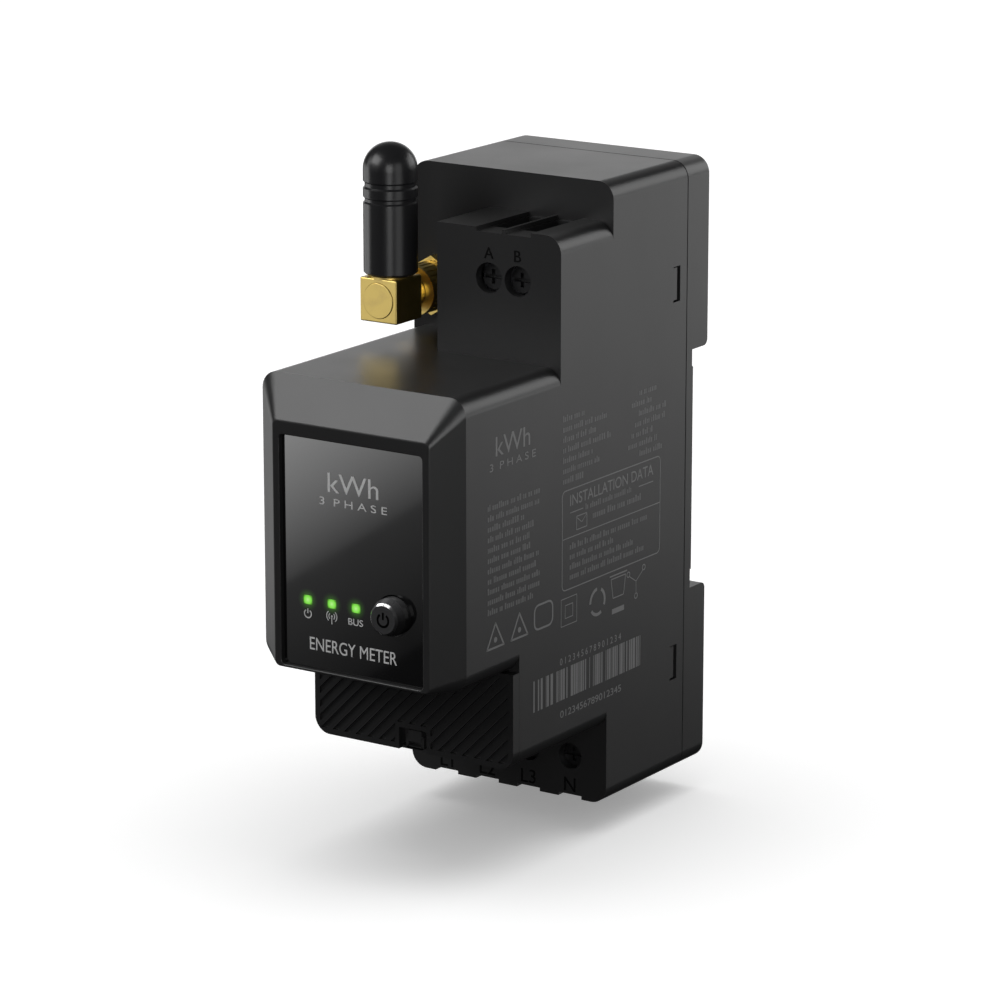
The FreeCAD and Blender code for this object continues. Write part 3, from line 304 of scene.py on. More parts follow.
class Print:
    """Flat marks on one face of a part, drawn in millimetres and given a film's thickness."""

    def __init__(self, origin, right, up):
        out = Vector(right).cross(Vector(up))
        axes = Matrix((right, up, out)).transposed().to_4x4()
        self.matrix = Matrix.Translation(Vector(origin)) @ axes @ Matrix.Scale(MM, 4)
        self.mesh = bmesh.new()

    def bar(self, left, low, wide, tall):
        """Filled rectangle."""
        corners = [(left, low), (left + wide, low), (left + wide, low + tall), (left, low + tall)]
        self.mesh.faces.new([self.mesh.verts.new((x, y, 0)) for x, y in corners])

    def frame(self, left, low, right, high, line, rounding=0.0):
        """Outline of a rectangle."""
        self.outline([(left, low), (right, low), (right, high), (left, high)], line, rounding)

    def outline(self, corners, line, rounding):
        """Closed outline of a polygon, with rounded corners."""
        shape = bmesh.new()
        shape.faces.new([shape.verts.new((x, y, 0)) for x, y in corners])
        if rounding:
            bmesh.ops.bevel(shape, geom=list(shape.verts), offset=rounding, segments=4,
                            affect="VERTICES", profile=0.5, material=-1)
        shape.normal_update()
        shape.faces.ensure_lookup_table()
        face = shape.faces[0]
        bmesh.ops.inset_region(shape, faces=[face], thickness=line, use_even_offset=True,
                               use_boundary=True)
        bmesh.ops.delete(shape, geom=[face], context="FACES_ONLY")
        self.take(shape)

    def ring(self, x, y, radius, line, segments):
        """Circle outline."""
        self.arc(x, y, radius, line, 0, 360, segments)

    def arc(self, x, y, radius, line, start, sweep, segments=20):
        """Part of a circle outline, in degrees anticlockwise from the right."""
        shape = bmesh.new()
        turn = math.radians(start)
        direction = Vector((math.cos(turn), math.sin(turn), 0))
        ends = [shape.verts.new(direction * reach) for reach in (radius - line / 2, radius + line / 2)]
        edge = shape.edges.new(ends)
        bmesh.ops.spin(shape, geom=[*ends, edge], axis=(0, 0, 1), cent=(0, 0, 0), steps=segments,
                       angle=math.radians(sweep), use_merge=sweep == 360)
        bmesh.ops.translate(shape, verts=shape.verts, vec=(x, y, 0))
        self.take(shape)

    def line(self, start, end, wide):
        """Straight stroke between two points."""
        first, last = Vector((*start, 0)), Vector((*end, 0))
        side = (last - first).cross(Vector((0, 0, 1))).normalized() * wide / 2
        corners = (first - side, first + side, last + side, last - side)
        self.mesh.faces.new([self.mesh.verts.new(corner) for corner in corners])

    def disc(self, x, y, radius, segments):
        """Filled circle."""
        shape = bmesh.new()
        bmesh.ops.create_circle(shape, cap_ends=True, segments=segments, radius=radius)
        bmesh.ops.translate(shape, verts=shape.verts, vec=(x, y, 0))
        self.take(shape)

    def text(self, words, x, y, tall, wide=None):
        """Lettering whose capitals have a height, centred on a point, and squeezed to a width."""
        curve = bpy.data.curves.new("lettering", "FONT")
        curve.body = words
        holder = bpy.data.objects.new("lettering", curve)
        bpy.context.scene.collection.objects.link(holder)
        bpy.context.view_layer.update()
        graph = bpy.context.evaluated_depsgraph_get()
        flat = bpy.data.meshes.new_from_object(holder.evaluated_get(graph))
        bpy.data.objects.remove(holder)
        bpy.data.curves.remove(curve)
        shape = bmesh.new()
        shape.from_mesh(flat)
        bpy.data.meshes.remove(flat)
        across = [vert.co.x for vert in shape.verts]
        upward = [vert.co.y for vert in shape.verts]
        up_scale = tall / (max(upward) - min(upward))
        across_scale = wide / (max(across) - min(across)) if wide else up_scale
        middle = Vector(((max(across) + min(across)) / 2, (max(upward) + min(upward)) / 2, 0))
        bmesh.ops.translate(shape, verts=shape.verts, vec=-middle)
        bmesh.ops.scale(shape, verts=shape.verts, vec=(across_scale, up_scale, 1))
        bmesh.ops.translate(shape, verts=shape.verts, vec=(x, y, 0))
        bmesh.ops.remove_doubles(shape, verts=shape.verts, dist=1e-5)
        self.take(shape)

    def take(self, shape):
        """Add another mesh's flat faces."""
        copy = bpy.data.meshes.new("flat")
        shape.to_mesh(copy)
        shape.free()
        self.mesh.from_mesh(copy)
        bpy.data.meshes.remove(copy)

    def finish(self, name, body, shade, film=0.03, sunk=0.02):
        """Give the marks their thickness and place, and let them ride on a body."""
        self.mesh.normal_update()
        bmesh.ops.translate(self.mesh, verts=self.mesh.verts, vec=(0, 0, -sunk))
        grown = bmesh.ops.extrude_face_region(self.mesh, geom=self.mesh.faces[:])
        lifted = [item for item in grown["geom"] if isinstance(item, bmesh.types.BMVert)]
        bmesh.ops.translate(self.mesh, verts=lifted, vec=(0, 0, film + sunk))
        bmesh.ops.recalc_face_normals(self.mesh, faces=self.mesh.faces[:])
        bmesh.ops.transform(self.mesh, matrix=self.matrix, verts=self.mesh.verts)
        return placed(self.mesh, name, body, shade)


def placed(mesh, name, body, shade):
    """Object from a finished mesh, riding on a body."""
    data = bpy.data.meshes.new(name)
    mesh.to_mesh(data)
    mesh.free()
    data.materials.append(shade.material)
    piece = bpy.data.objects.new(name, data)
    bpy.context.scene.collection.objects.link(piece)
    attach(piece, body)
    return piece


def merged_copy(name):
    """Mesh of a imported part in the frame, with its split points joined."""
    part = NODES[name]
    mesh = bmesh.new()
    mesh.from_mesh(part.data)
    bmesh.ops.transform(mesh, matrix=part.matrix_world, verts=mesh.verts)
    bmesh.ops.remove_doubles(mesh, verts=mesh.verts, dist=MERGE)
    return mesh


def softened(name, radius, wanted, shade, reshape=None):
    """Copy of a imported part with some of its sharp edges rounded, standing for the part."""
    mesh = merged_copy(name)
    if reshape:
        reshape(mesh)
    bmesh.ops.dissolve_limit(mesh, angle_limit=math.radians(0.5), verts=mesh.verts, edges=mesh.edges)
    sharp = [edge for edge in mesh.edges
             if len(edge.link_faces) == 2 and edge.calc_face_angle() > math.radians(20)
             and all(wanted(vert.co) for vert in edge.verts)]
    bmesh.ops.bevel(mesh, geom=sharp, offset=radius, segments=4, profile=0.5, affect="EDGES",
                    clamp_overlap=True, material=-1)
    for face in mesh.faces:
        face.smooth = True
    for edge in mesh.edges:
        edge.smooth = len(edge.link_faces) != 2 or edge.calc_face_angle() < math.radians(30)
    piece = placed(mesh, f"{name}_softened", "case", shade)
    normals = piece.modifiers.new("normals", "WEIGHTED_NORMAL")
    normals.keep_sharp = True
    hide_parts(name)
    return piece


def raise_hooks(mesh):
    """Bring the snap hooks' outer faces nearly flush with the side windows."""
    for vert in mesh.verts:
        on_face = abs(abs(vert.co.x) - HOOK_FACE) < in_mm(0.02)
        if on_face and HOOK_DEPTHS[0] < vert.co.y < HOOK_DEPTHS[1]:
            vert.co.x += math.copysign(HOOK_RAISE, vert.co.x)


def by_window(point):
    """True on the bezel's front lip and its slopes."""
    return point.y < SLOPE_BACK


def on_seam(point):
    """True on the outer rim where the housing and the rear cover meet."""
    outer = abs(point.x) > RIM_SIDE or point.z > RIM_TOP or point.z < RIM_BOTTOM
    return outer and abs(point.y - SEAM_DEPTH) < in_mm(0.03)


def unit_mark(marks, x, y):
    """The unit that the meter counts in, over a spaced word for its kind."""
    marks.text("kWh", x, y + 0.8, 2.9, 9.0)
    marks.text("3  P H A S E", x, y - 2.1, 1.15, 12.0)


def power_symbol(marks, x, y, radius, line):
    """Broken ring with an upright stroke in its gap."""
    marks.arc(x, y, radius, line, 125, 290)
    marks.bar(x - line / 2, y + radius * 0.1, line, radius * 1.15)


# ---------------------------------------------------------------- properties

def colour_property(name, description, default):
    """Colour shown as a swatch."""
    return FloatVectorProperty(name=name, description=description, default=default,
                               subtype="COLOR", size=3, min=0.0, max=1.0)


def length_property(name, description, default):
    """Length in metres."""
    return FloatProperty(name=name, description=description, default=default,
                         unit="LENGTH", subtype="DISTANCE", precision=5)


def share_property(name, description, default):
    """Share from zero to one."""
    return FloatProperty(name=name, description=description, default=default,
                         subtype="FACTOR", min=0.0, max=1.0)


class MeterCaseSettings(bpy.types.PropertyGroup):
    """Plastics of the case."""

    plastic: colour_property("Case plastic", "Colour of the housing, rear cover and bezel",
                             (0.021, 0.021, 0.0215))
    ribbed: colour_property("Ribbed plastic", "Colour of the ribbed cover", (0.016, 0.016, 0.0165))
    latch: colour_property("Latch plastic", "Colour of the rail latch", (0.05, 0.05, 0.052))
    roughness: share_property("Roughness", "Roughness of the case plastic", 0.34)
    grain: length_property("Grain", "Size of the moulded grain", in_mm(0.22))
    grain_depth: length_property("Grain depth", "Depth of the moulded grain", in_mm(0.006))
    seam: length_property("Seam", "Rounding of the edges where the housing meets the rear cover", in_mm(0.16))
    edge: length_property("Edge", "Rounding of the bezel's front edges", in_mm(0.45))


class MeterDisplaySettings(bpy.types.PropertyGroup):
    """Window, lights and printing on the window."""

    glass: colour_property("Window", "Colour of the tinted window", (0.004, 0.004, 0.0042))
    lit: colour_property("Light", "Colour of the lit status lights", (0.2, 0.68, 0.07))
    glow: FloatProperty(name="Glow", description="Strength of the status lights", default=1.0, min=0.0)
    halo: length_property("Halo", "Reach of the light in the window", in_mm(1.9))
    print_colour: colour_property("Print", "Colour of the printing on the window", (0.62, 0.62, 0.62))
    caption: StringProperty(name="Caption", description="Words under the lights", default="ENERGY METER")


class MeterTerminalSettings(bpy.types.PropertyGroup):
    """Terminals and their letters."""

    letter: colour_property("Letters", "Colour of the moulded letters", (0.003, 0.003, 0.003))
    signal_size: length_property("Signal letters", "Height of the letters on the signal block", in_mm(1.7))
    line_size: length_property("Line letters", "Height of the letters on the line block", in_mm(2.2))


class MeterPrintSettings(bpy.types.PropertyGroup):
    """Data print on the right side."""

    tone: colour_property("Side print", "Colour of the print on the side", (0.25, 0.25, 0.252))
    faint: colour_property("Fine print", "Colour of the fine print on the side", (0.15, 0.15, 0.152))
    seed: IntProperty(name="Seed", description="Order of the stand-in words and code bars", default=11)


class MeterAntennaSettings(bpy.types.PropertyGroup):
    """Antenna and its plated fittings."""

    gold: colour_property("Plating", "Colour of the plated brass", (0.82, 0.62, 0.2))
    sleeve: colour_property("Sleeve", "Colour of the antenna sleeve", (0.012, 0.012, 0.013))
    sleeve_roughness: share_property("Sleeve roughness", "Roughness of the sleeve", 0.3)


class MeterStudioSettings(bpy.types.PropertyGroup):
    """Floor, lights and camera."""

    floor: colour_property("Floor", "Colour of the floor", (0.9, 0.9, 0.9))
    hover: length_property("Hover", "Gap between the meter and the floor", in_mm(5))
    lens: FloatProperty(name="Lens", description="Focal length in millimetres", default=159.33)


# ---------------------------------------------------------------- operators

class METER_OT_case(bpy.types.Operator):
    """Finish the housing, rear cover, bezel, ribbed cover and rail latch"""

    bl_idname = "meter.case"
    bl_label = "Case"

    def execute(self, context):
        settings = context.scene.meter_case
        case = moulded_plastic("case_plastic", settings.plastic, settings.roughness, settings.grain,
                               settings.grain_depth)
        for name, reshape in (("main_housing", None), ("rear_cover", raise_hooks)):
            dress(case, name)
            softened(name, settings.seam, on_seam, case, reshape)
        bezel = moulded_plastic("bezel_plastic", settings.plastic, settings.roughness - 0.04,
                                settings.grain, settings.grain_depth * 0.6)
        dress(bezel, "front_bezel")
        softened("front_bezel", settings.edge, by_window, bezel)
        dress(moulded_plastic("ribbed_plastic", settings.ribbed, 0.36, settings.grain,
                              settings.grain_depth), "ribbed_cover")
        dress(moulded_plastic("latch_plastic", settings.latch, 0.45, settings.grain,
                              settings.grain_depth), "rail_latch")
        self.fit_catch(case)
        self.wind_spring()
        return {"FINISHED"}

    def fit_catch(self, shade):
        """Loop in the ribbed cover's notch, on the case."""
        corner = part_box("ribbed_cover")[0]
        low = corner.z / MM
        catch = Print((0, corner.y + COVER_THICK, 0), *FACING_FRONT)
        catch.frame(-1.6, low + 0.2, 1.6, low + 2.3, 0.45, 0.25)
        catch.bar(-2.35, low + 0.05, 4.7, 0.4)
        catch.finish("cover_catch", "case", shade, film=1.0, sunk=0.1)

    def wind_spring(self):
        """Smooth copy of the spring, seated on the cover's peg and riding on the case in place of the
        imported spring.
        """
        steel = coated_metal("spring_steel", (0.5, 0.5, 0.51), 0.3, (0.3, 0.28, 0.26))
        dress(steel, "latch_spring")
        mesh = merged_copy("latch_spring")
        for face in mesh.faces:
            face.smooth = True
        spring = placed(mesh, "latch_spring_coil", "case", steel)
        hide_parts("latch_spring")
        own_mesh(spring)


class METER_OT_display(bpy.types.Operator):
    """Finish the window, the status lights and the printing on the window"""

    bl_idname = "meter.display"
    bl_label = "Display"

    def execute(self, context):
        settings = context.scene.meter_display
        low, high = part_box("status_lenses")
        lights = self.light_centres(low, high)
        self.finish_window(settings, lights)
        self.finish_lights(settings, lights)
        self.print_marks(settings, lights)
        return {"FINISHED"}

    def light_centres(self, low, high):
        """Middle of each of the three lights."""
        first, last = low.x + LIGHT_WIDE / 2, high.x - LIGHT_WIDE / 2
        level = (low.z + high.z) / 2
        return [Vector(((first * (2 - step) + last * step) / 2, low.y, level)) for step in range(3)]

    def nearness(self, shade, lights, reach):
        """One at the middle of a light, falling to zero at a reach from it."""
        total = 0.0
        for light in lights:
            total = (1 - shade.distance_to(light) / reach).clamped() + total
        return total.clamped()

    def finish_window(self, settings, lights):
        """Tinted window with a glow round each light."""
        shade = Shade("window_gloss")
        film = shade.noise(0.009, 3.0)
        dust = shade.noise(0.0005, 2.0)
        near = self.nearness(shade, lights, settings.halo)
        tone = shade.mix(film, settings.glass, darker(settings.glass, 1.5))
        glow = shade.mix(near * near, (0, 0, 0), darker(settings.lit, 0.3))
        gloss = shade.ranged(film, 0.03, 0.05) + shade.ranged(dust, -0.008, 0.008)
        shade.surface(Base_Color=tone, Roughness=gloss, Emission_Color=glow, Emission_Strength=1.0, IOR=1.5)
        dress(shade, "display_window")

    def finish_lights(self, settings, lights):
        """Lit lens tips, the chips behind them and the carrier."""
        shade = Shade("light_guide")
        cloud = shade.noise(0.0006, 2.0)
        near = self.nearness(shade, lights, LENS_REACH)
        lit = shade.mix((near * 2.6).clamped(), darker(settings.lit, 0.06), settings.lit)
        lit = shade.mix((near - 0.45).clamped() * 0.8, lit, (0.75, 1.0, 0.5))
        shade.surface(Base_Color=shade.mix(cloud, darker(settings.lit, 0.2), darker(settings.lit, 0.15)),
                      Roughness=0.3, Emission_Color=lit, Emission_Strength=settings.glow)
        dress(shade, "status_lenses")
        chip = moulded_plastic("led_chip", (0.75, 0.73, 0.62), 0.35, 0.0002, 0.000004)
        dress(chip, "status_leds")
        dress(moulded_plastic("inner_plastic", (0.05, 0.05, 0.055), 0.5, 0.0003, 0.00001), "lens_carrier",
              "signal_carrier", "line_carrier")

    def print_marks(self, settings, lights):
        """Icons under the lights, the caption and a plain mark."""
        marks = Print((0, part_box("display_window")[0].y, 0), *FACING_FRONT)
        first, second, third = (light.x / MM for light in lights)
        level = -12.1
        power_symbol(marks, first, level, 0.62, 0.17)
        marks.bar(second - 0.075, level - 0.95, 0.15, 1.15)
        marks.disc(second, level + 0.25, 0.17, 12)
        for reach in (0.52, 0.92):
            for start in (-50, 130):
                marks.arc(second, level + 0.25, reach, 0.14, start, 100, 10)
        marks.text("BUS", third - 0.05, level, 1.0, 2.6)
        marks.text(settings.caption, -0.2, -16.5, 1.95, 15.6)
        unit_mark(marks, 0, 7.5)
        shade = ink("window_ink", settings.print_colour)
        marks.finish("window_print", "case", shade)


class METER_OT_button(bpy.types.Operator):
    """Finish the power button, its symbol and the switch behind it"""

    bl_idname = "meter.button"
    bl_label = "Button"

    def execute(self, context):
        low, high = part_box("power_button")
        shade = moulded_plastic("button_plastic", (0.016, 0.016, 0.0165), 0.18, 0.0003, 0.000002)
        dress(shade, "power_button")
        dress(coated_metal("switch_metal", (0.55, 0.55, 0.56), 0.32, (0.4, 0.38, 0.35)), "tact_switch")
        dress(moulded_plastic("switch_plastic", (0.08, 0.08, 0.085), 0.4, 0.0003, 0.000006), "switch_plunger")
        middle = (low + high) / 2
        marks = Print((middle.x, low.y, middle.z), *FACING_FRONT)
        power_symbol(marks, 0, -0.1, 0.95, 0.32)
        # Painted shade: the cap's symbol is engraved, and the shade in its groove is drawn as a black film
        # with no reflection.
        black = ink("button_engraving_shade", (0.001, 0.001, 0.001), 0.8).surface(Specular_IOR_Level=0.0)
        marks.finish("button_symbol", "power_button", black, film=0.02)
        return {"FINISHED"}


class METER_OT_antenna(bpy.types.Operator):
    """Finish the antenna, its elbow, the nuts and the jack"""

    bl_idname = "meter.antenna"
    bl_label = "Antenna"

    def execute(self, context):
        settings = context.scene.meter_antenna
        gold = coated_metal("gold_brass", settings.gold, 0.36, (0.68, 0.5, 0.2))
        dress(gold, "antenna_elbow", "elbow_cap", "coupling_nut", "antenna_jack", "jack_washer", "jack_nut")
        sleeve = moulded_plastic("sleeve_rubber", settings.sleeve, settings.sleeve_roughness,
                                 0.00018, 0.000003)
        dress(sleeve, "antenna_sleeve")
        dress(coated_metal("whip_copper", (0.7, 0.66, 0.6), 0.3, (0.5, 0.35, 0.25)), "antenna_whip")
        return {"FINISHED"}


class METER_OT_terminals(bpy.types.Operator):
    """Finish the screws, cages and bars, and put letters beside the screws"""

    bl_idname = "meter.terminals"
    bl_label = "Terminals"

    def execute(self, context):
        settings = context.scene.meter_terminals
        names = ("a", "b", "l1", "l2", "l3", "n")
        steel = coated_metal("screw_steel", (0.06, 0.06, 0.062), 0.45, (0.04, 0.038, 0.035),
                             stretch=(1.0, 4.0, 1.0))
        dress(steel, *(f"screw_{name}" for name in names))
        cage = coated_metal("cage_steel", (0.55, 0.55, 0.55), 0.33, (0.42, 0.4, 0.34),
                            stretch=(1.0, 0.2, 1.0))
        dress(cage, *(f"cage_{name}" for name in names))
        copper = coated_metal("tinned_copper", (0.62, 0.6, 0.56), 0.36, (0.6, 0.42, 0.3))
        dress(copper, "signal_bars", "line_bars")
        shade = ink("letter_ink", settings.letter, 0.8).surface(Specular_IOR_Level=0.1)
        self.letters(names[:2], -37.35, 3.75, settings.signal_size, "signal_letters", shade)
        self.letters(names[2:], -24.25, -4.6, settings.line_size, "line_letters", shade)
        return {"FINISHED"}

    def letters(self, names, face, rise, tall, piece_name, shade):
        """One row of letters above or below its screws."""
        marks = Print((0, in_mm(face), 0), *FACING_FRONT)
        for name in names:
            low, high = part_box(f"screw_{name}")
            middle = (low + high) / 2 / MM
            marks.text(name.upper(), middle.x, middle.z + rise, tall / MM)
        marks.finish(piece_name, "case", shade, film=0.06)


class METER_OT_side_print(bpy.types.Operator):
    """Print stand-in data, frames and a bar pattern on the right side"""

    bl_idname = "meter.side_print"
    bl_label = "Side print"

    def execute(self, context):
        settings = context.scene.meter_print
        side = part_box("main_housing")[1].x
        self.random = random.Random(settings.seed)
        strong = Print((side, 0, 0), *FACING_RIGHT)
        fine = Print((side, 0, 0), *FACING_RIGHT)
        self.frames_and_signs(strong)
        unit_mark(strong, -50.0, 13.7)
        self.bar_pattern(strong)
        self.text_blocks(fine)
        clear, faint = ink("side_ink", settings.tone, 0.36), ink("fine_ink", settings.faint, 0.36)
        strong.finish("side_signs", "case", clear, film=0.02)
        fine.finish("side_fine_print", "case", faint, film=0.02)
        return {"FINISHED"}

    def words(self, marks, left, low, length, tall):
        """A line of stand-in words: strokes grouped as letters and gaps."""
        at = left
        while at < left + length:
            for _ in range(self.random.randint(2, 8)):
                wide = tall * self.random.uniform(0.42, 0.68)
                rise = tall * self.random.choice((0.72, 0.72, 0.72, 1.0))
                if at + wide > left + length:
                    return
                marks.bar(at, low, wide * 0.72, rise)
                at += wide
            at += tall * 0.42

    def text_blocks(self, marks):
        """Columns of small stand-in lines."""
        for row in range(11):
            self.words(marks, -56.6, 5.3 - row * 1.56, self.random.uniform(9.5, 15.5), 0.95)
        for row in range(7):
            low = 14.6 - row * 1.58
            self.words(marks, -36.7, low, self.random.uniform(5, 14), 0.95)
            self.words(marks, -20 + self.random.uniform(0, 5), low, self.random.uniform(5, 9), 0.95)
        for row, length in enumerate((22.5, 12.5, 18, 21)):
            self.words(marks, -34.8, -5.2 - row * 1.55, length, 0.95)
        self.words(marks, -30.5, 0.05, 13, 0.9)
        self.words(marks, -28.5, -1.75, 14.5, 1.05)

    def frames_and_signs(self, marks):
        """Frame, header, envelope and a row of plain signs."""
        marks.frame(-36.9, -11.3, -9.3, 4.1, 0.16, 0.9)
        marks.bar(-36.9, -3.4, 27.6, 0.14)
        marks.text("INSTALLATION DATA", -23.05, 2.3, 1.7, 23.3)
        marks.bar(-34.7, 0.35, 3.6, 0.14)
        marks.bar(-15.5, 0.35, 4.1, 0.14)
        marks.frame(-33.0, -2.6, -30.0, -0.4, 0.15, 0.2)
        marks.line((-32.9, -0.6), (-31.5, -1.6), 0.14)
        marks.line((-31.5, -1.6), (-30.1, -0.6), 0.14)
        for left in (-57.0, -50.7):
            marks.outline([(left, -15.6), (left + 4.9, -15.6), (left + 2.45, -11.5)], 0.3, 0.25)
            marks.disc(left + 2.45, -14.3, 0.42, 12)
        marks.frame(-44.4, -15.6, -39.2, -11.6, 0.3, 1.2)
        marks.frame(-37.1, -16.7, -32.7, -12.4, 0.12)
        marks.frame(-36.0, -15.6, -33.8, -13.5, 0.12)
        for turn in range(3):
            marks.arc(-27.0, -15.0, 2.0, 0.5, 95 + turn * 120, 85, 10)
        marks.outline([(-22.7, -15.6), (-19.6, -15.6), (-19.0, -12.4), (-23.3, -12.4)], 0.16, 0.2)
        marks.bar(-23.6, -12.1, 4.9, 0.2)
        marks.bar(-22.9, -18.0, 3.4, 0.8)
        fork_x, fork_y = -16.1, -14.3
        for x, y in ((-18.3, -12.8), (-13.9, -12.6), (-16.1, -16.6)):
            marks.ring(x, y, 0.42, 0.16, 14)
            near_ring = (x + (fork_x - x) * 0.14, y + (fork_y - y) * 0.25)
            marks.line(near_ring, (fork_x, fork_y), 0.14)

    def bar_pattern(self, marks):
        """Upright bars of mixed widths with a line of digits above and below."""
        at = -44.5
        while at < -14.5:
            wide = self.random.choice((0.16, 0.16, 0.32, 0.32, 0.5, 0.66))
            marks.bar(at, -28.0, wide, 4.8)
            at += wide + self.random.choice((0.14, 0.14, 0.28, 0.44, 0.9))
        marks.text("0 1 2 3 4 5 6 7 8 9 0 1 2 3 4", -28.8, -22.0, 1.05, 17)
        marks.text("0123456789012345", -28.7, -30.2, 1.1, 17)


class METER_OT_boards(bpy.types.Operator):
    """Finish the boards and what they carry"""

    bl_idname = "meter.boards"
    bl_label = "Boards"

    def execute(self, context):
        dress(circuit_board("circuit_board"), "rear_board", "front_board", "bridge_board")
        dress(moulded_plastic("header_plastic", (0.7, 0.68, 0.6), 0.42, 0.0003, 0.00001), "ct_header")
        dress(moulded_plastic("header_black", (0.03, 0.03, 0.032), 0.42, 0.0003, 0.00001), "board_headers")
        shield = coated_metal("shield_steel", (0.58, 0.58, 0.59), 0.28, (0.5, 0.5, 0.48),
                              stretch=(6.0, 1.0, 1.0))
        dress(shield, "radio_module")
        dress(moulded_plastic("ferrite", (0.06, 0.06, 0.065), 0.6, 0.0002, 0.00002), "supply_transformer")
        dress(moulded_plastic("can_sleeve", (0.02, 0.03, 0.09), 0.3, 0.0004, 0.000006), "capacitors")
        return {"FINISHED"}


class METER_OT_studio(bpy.types.Operator):
    """Set the floor, the soft lights, the surroundings and the camera"""

    bl_idname = "meter.studio"
    bl_label = "Studio"

    def execute(self, context):
        settings = context.scene.meter_studio
        self.lay_floor(settings)
        self.surround(context.scene)
        self.set_lights()
        self.set_camera(context.scene, settings)
        return {"FINISHED"}

    def lay_floor(self, settings):
        """Large pale floor a little under the meter."""
        mesh = bmesh.new()
        bmesh.ops.create_grid(mesh, x_segments=2, y_segments=2, size=FLOOR_HALF)
        bmesh.ops.translate(mesh, verts=mesh.verts, vec=(0, 0, CAD_BOX[0].z - settings.hover))
        data = bpy.data.meshes.new("floor")
        mesh.to_mesh(data)
        mesh.free()
        floor = bpy.data.objects.new("floor", data)
        bpy.context.scene.collection.objects.link(floor)
        shade = Shade("floor")
        cloud = shade.noise(0.4, 2.0)
        shade.surface(Base_Color=shade.mix(cloud, settings.floor, darker(settings.floor, 0.99)),
                      Roughness=0.9, Specular_IOR_Level=0.0, Emission_Color=settings.floor,
                      Emission_Strength=FLOOR_GLOW)
        data.materials.append(shade.material)
        floor.visible_glossy = False
        floor.visible_diffuse = False
        floor.visible_shadow = False

    def surround(self, scene):
        """Dim sky, a little brighter overhead and darkest below the horizon."""
        scene.view_settings.view_transform = "Standard"
        world = bpy.data.worlds.new("surroundings")
        scene.world = world
        world.use_nodes = True
        nodes, links = world.node_tree.nodes, world.node_tree.links
        place = nodes.new("ShaderNodeTexCoord")
        split = nodes.new("ShaderNodeSeparateXYZ")
        links.new(place.outputs["Generated"], split.inputs[0])
        ramp = nodes.new("ShaderNodeValToRGB")
        scaled = nodes.new("ShaderNodeMath")
        scaled.operation = "MULTIPLY_ADD"
        scaled.inputs[1].default_value = 0.5
        scaled.inputs[2].default_value = 0.5
        links.new(split.outputs["Z"], scaled.inputs[0])
        links.new(scaled.outputs[0], ramp.inputs[0])
        grey_stops(ramp, SKY)
        links.new(ramp.outputs[0], nodes["Background"].inputs[0])

    def set_lights(self):
        """Softboxes all round, some of them for a few parts or for the floor alone."""
        for name, facts in SOFTBOXES.items():
            self.softbox(name, *facts)
        self.fade(bpy.data.lights["window_sheen"], SHEEN)

    def softbox(self, name, azimuth, elevation, roll, distance, wide, tall, level, parts):
        """Rectangular light that faces the meter, for some parts or for all but the floor."""
        data = bpy.data.lights.new(name, "AREA")
        data.shape = "RECTANGLE"
        data.size, data.size_y = wide, tall
        data.energy = level * wide * tall * math.pi
        light = bpy.data.objects.new(name, data)
        turn, rise = math.radians(azimuth), math.radians(elevation)
        level_reach = math.cos(rise)
        away = Vector((math.sin(turn) * level_reach, -math.cos(turn) * level_reach, math.sin(rise)))
        facing = away.to_track_quat("Z", "Y").to_matrix().to_4x4()
        rolled = Matrix.Rotation(math.radians(roll), 4, "Z")
        light.matrix_world = Matrix.Translation(away * distance) @ facing @ rolled
        light.visible_camera = False
        bpy.context.scene.collection.objects.link(light)
        listed = bpy.data.collections.new(f"{name}_parts")
        for part in parts or ("floor",):
            listed.objects.link(bpy.data.objects[part])
        light.light_linking.receiver_collection = listed
        if not parts:
            listed.collection_objects[0].light_linking.link_state = "EXCLUDE"

    def fade(self, data, stops):
        """Vary a softbox's brightness from its lower edge to its upper edge."""
        data.use_nodes = True
        nodes, links = data.node_tree.nodes, data.node_tree.links
        split = nodes.new("ShaderNodeSeparateXYZ")
        links.new(nodes.new("ShaderNodeNewGeometry").outputs["Parametric"], split.inputs[0])
        ramp = nodes.new("ShaderNodeValToRGB")
        links.new(split.outputs["Y"], ramp.inputs[0])
        links.new(ramp.outputs[0], nodes["Emission"].inputs["Color"])
        grey_stops(ramp, stops)

    def set_camera(self, scene, settings):
        """Camera in front, to the right and a little above."""
        data = bpy.data.cameras.new("camera")
        data.lens = settings.lens
        data.sensor_width = 36.0
        camera = bpy.data.objects.new("camera", data)
        camera.location = CAMERA_PLACE
        camera.rotation_euler = (math.radians(CAMERA_TILT), 0, math.radians(CAMERA_TURN))
        scene.collection.objects.link(camera)
        scene.camera = camera


class METER_PT_panel(bpy.types.Panel):
    """Steps that finish the meter, in order"""

    bl_label = "Meter"
    bl_idname = "METER_PT_panel"
    bl_space_type = "VIEW_3D"
    bl_region_type = "UI"
    bl_category = "Meter"

    def draw(self, context):
        for operator in OPERATORS:
            self.layout.operator(operator.bl_idname)


GOLD_PARTS = ("antenna_elbow", "elbow_cap", "coupling_nut", "antenna_jack", "jack_washer", "jack_nut")
BEHIND_PARTS = ("rear_cover_softened", "rail_latch", "latch_spring_coil")
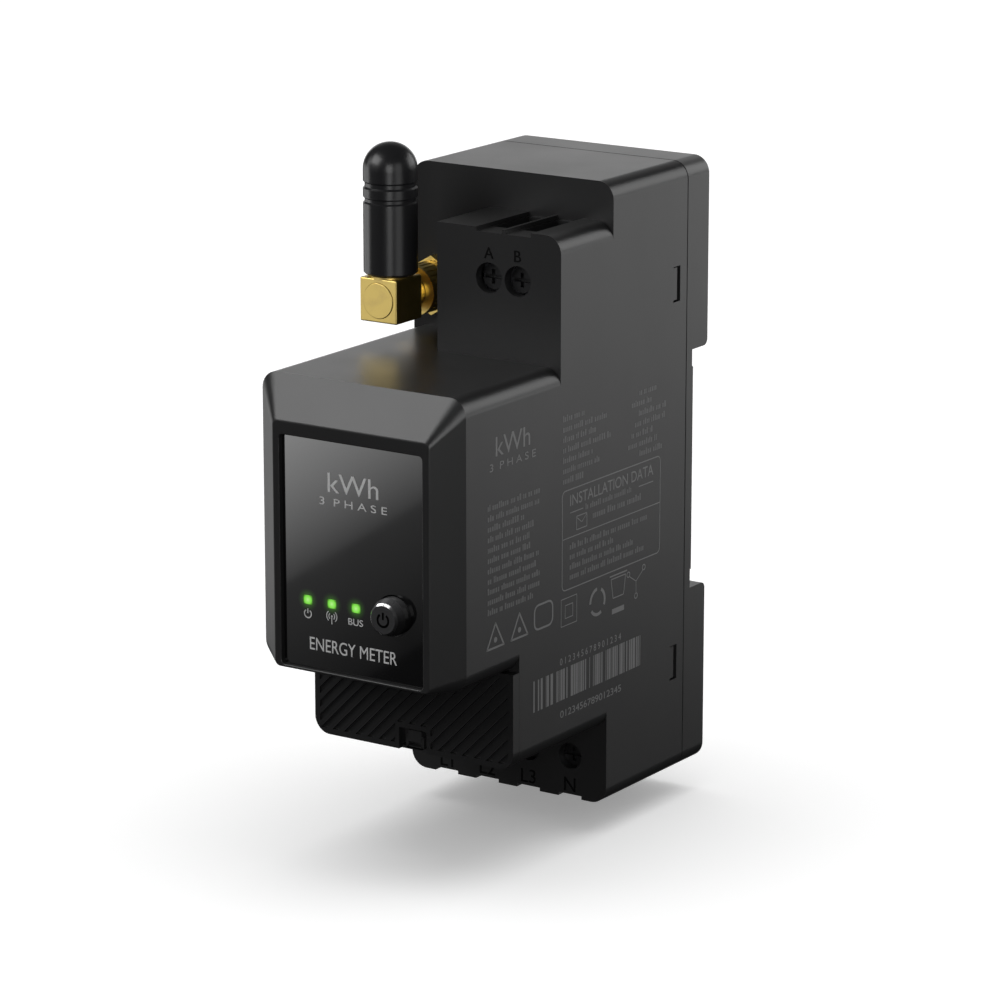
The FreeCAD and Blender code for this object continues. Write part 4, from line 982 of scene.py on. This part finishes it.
# Each softbox: azimuth (0 in front, positive to the right), elevation and roll in degrees, distance,
# width and height in metres, brightness, and the parts that it lights. One that names no parts lights
# everything but the floor.
SOFTBOXES = {
    "back_left_low": (214, 8, 0, 1.0, 0.9, 0.36, 1.17, ()),
    "back_left_high": (214, 34, 0, 1.0, 0.9, 0.5, 0.2, ()),
    "left": (270, -8, 0, 1.0, 0.8, 0.36, 1.02, ()),
    "front_left_low": (326, 8, 0, 1.0, 0.6, 0.3, 0.29, ()),
    "front_left_high": (320, 34, 0, 1.0, 0.7, 0.5, 4.1, ()),
    "back_right_low": (146, -6, 0, 1.0, 0.8, 0.3, 1.41, ()),
    "back_right_high": (146, 20, 0, 1.0, 0.8, 0.5, 2.15, ()),
    "front_right": (30, 8, 0, 1.0, 0.35, 0.6, 3.4, ()),
    "plating_fill": (326, -14, 0, 1.0, 0.7, 0.5, 0.85, GOLD_PARTS),
    "window_sheen": (327.5, -11.5, 31.1, 0.505, 0.3, 0.1, 9.3, ("display_window",)),
    "button_glint": (284, 38, -40, 1.0, 0.25, 0.7, 34.0, ("power_button",)),
    "button_top": (335, 62, 0, 1.0, 0.6, 0.3, 30.0, ("power_button",)),
    "behind": (180, 15, 0, 1.0, 0.8, 0.8, 0.6, BEHIND_PARTS),
    "sleeve_left": (288, 5, 0, 1.0, 0.3, 0.8, 1.3, ("antenna_sleeve",)),
    "sleeve_front": (68, 5, 0, 1.0, 0.5, 0.9, 1.1, ("antenna_sleeve",)),
    "floor_wide": (0, 89, 0, 2.4, 12.0, 12.0, 0.52, ("floor",)),
    "floor_top": (0, 89, CAMERA_TURN, 8.0, 12.0, 5.0, 2.0, ("floor",)),
}

SETTINGS = {
    "meter_case": MeterCaseSettings,
    "meter_display": MeterDisplaySettings,
    "meter_terminals": MeterTerminalSettings,
    "meter_print": MeterPrintSettings,
    "meter_antenna": MeterAntennaSettings,
    "meter_studio": MeterStudioSettings,
}
OPERATORS = (METER_OT_case, METER_OT_display, METER_OT_button, METER_OT_antenna, METER_OT_terminals,
             METER_OT_side_print, METER_OT_boards, METER_OT_studio)


def register():
    """Add the classes and the scene's settings."""
    for group in (*SETTINGS.values(), *OPERATORS, METER_PT_panel):
        bpy.utils.register_class(group)
    for name, group in SETTINGS.items():
        setattr(bpy.types.Scene, name, PointerProperty(type=group))


def unregister():
    """Take away what register added."""
    for name in SETTINGS:
        delattr(bpy.types.Scene, name)
    for group in reversed((*SETTINGS.values(), *OPERATORS, METER_PT_panel)):
        bpy.utils.unregister_class(group)


def main():
    """Run every step."""
    register()
    for operator in OPERATORS:
        getattr(bpy.ops.meter, operator.bl_idname.split(".")[1])()


if __name__ == "__main__":
    main()
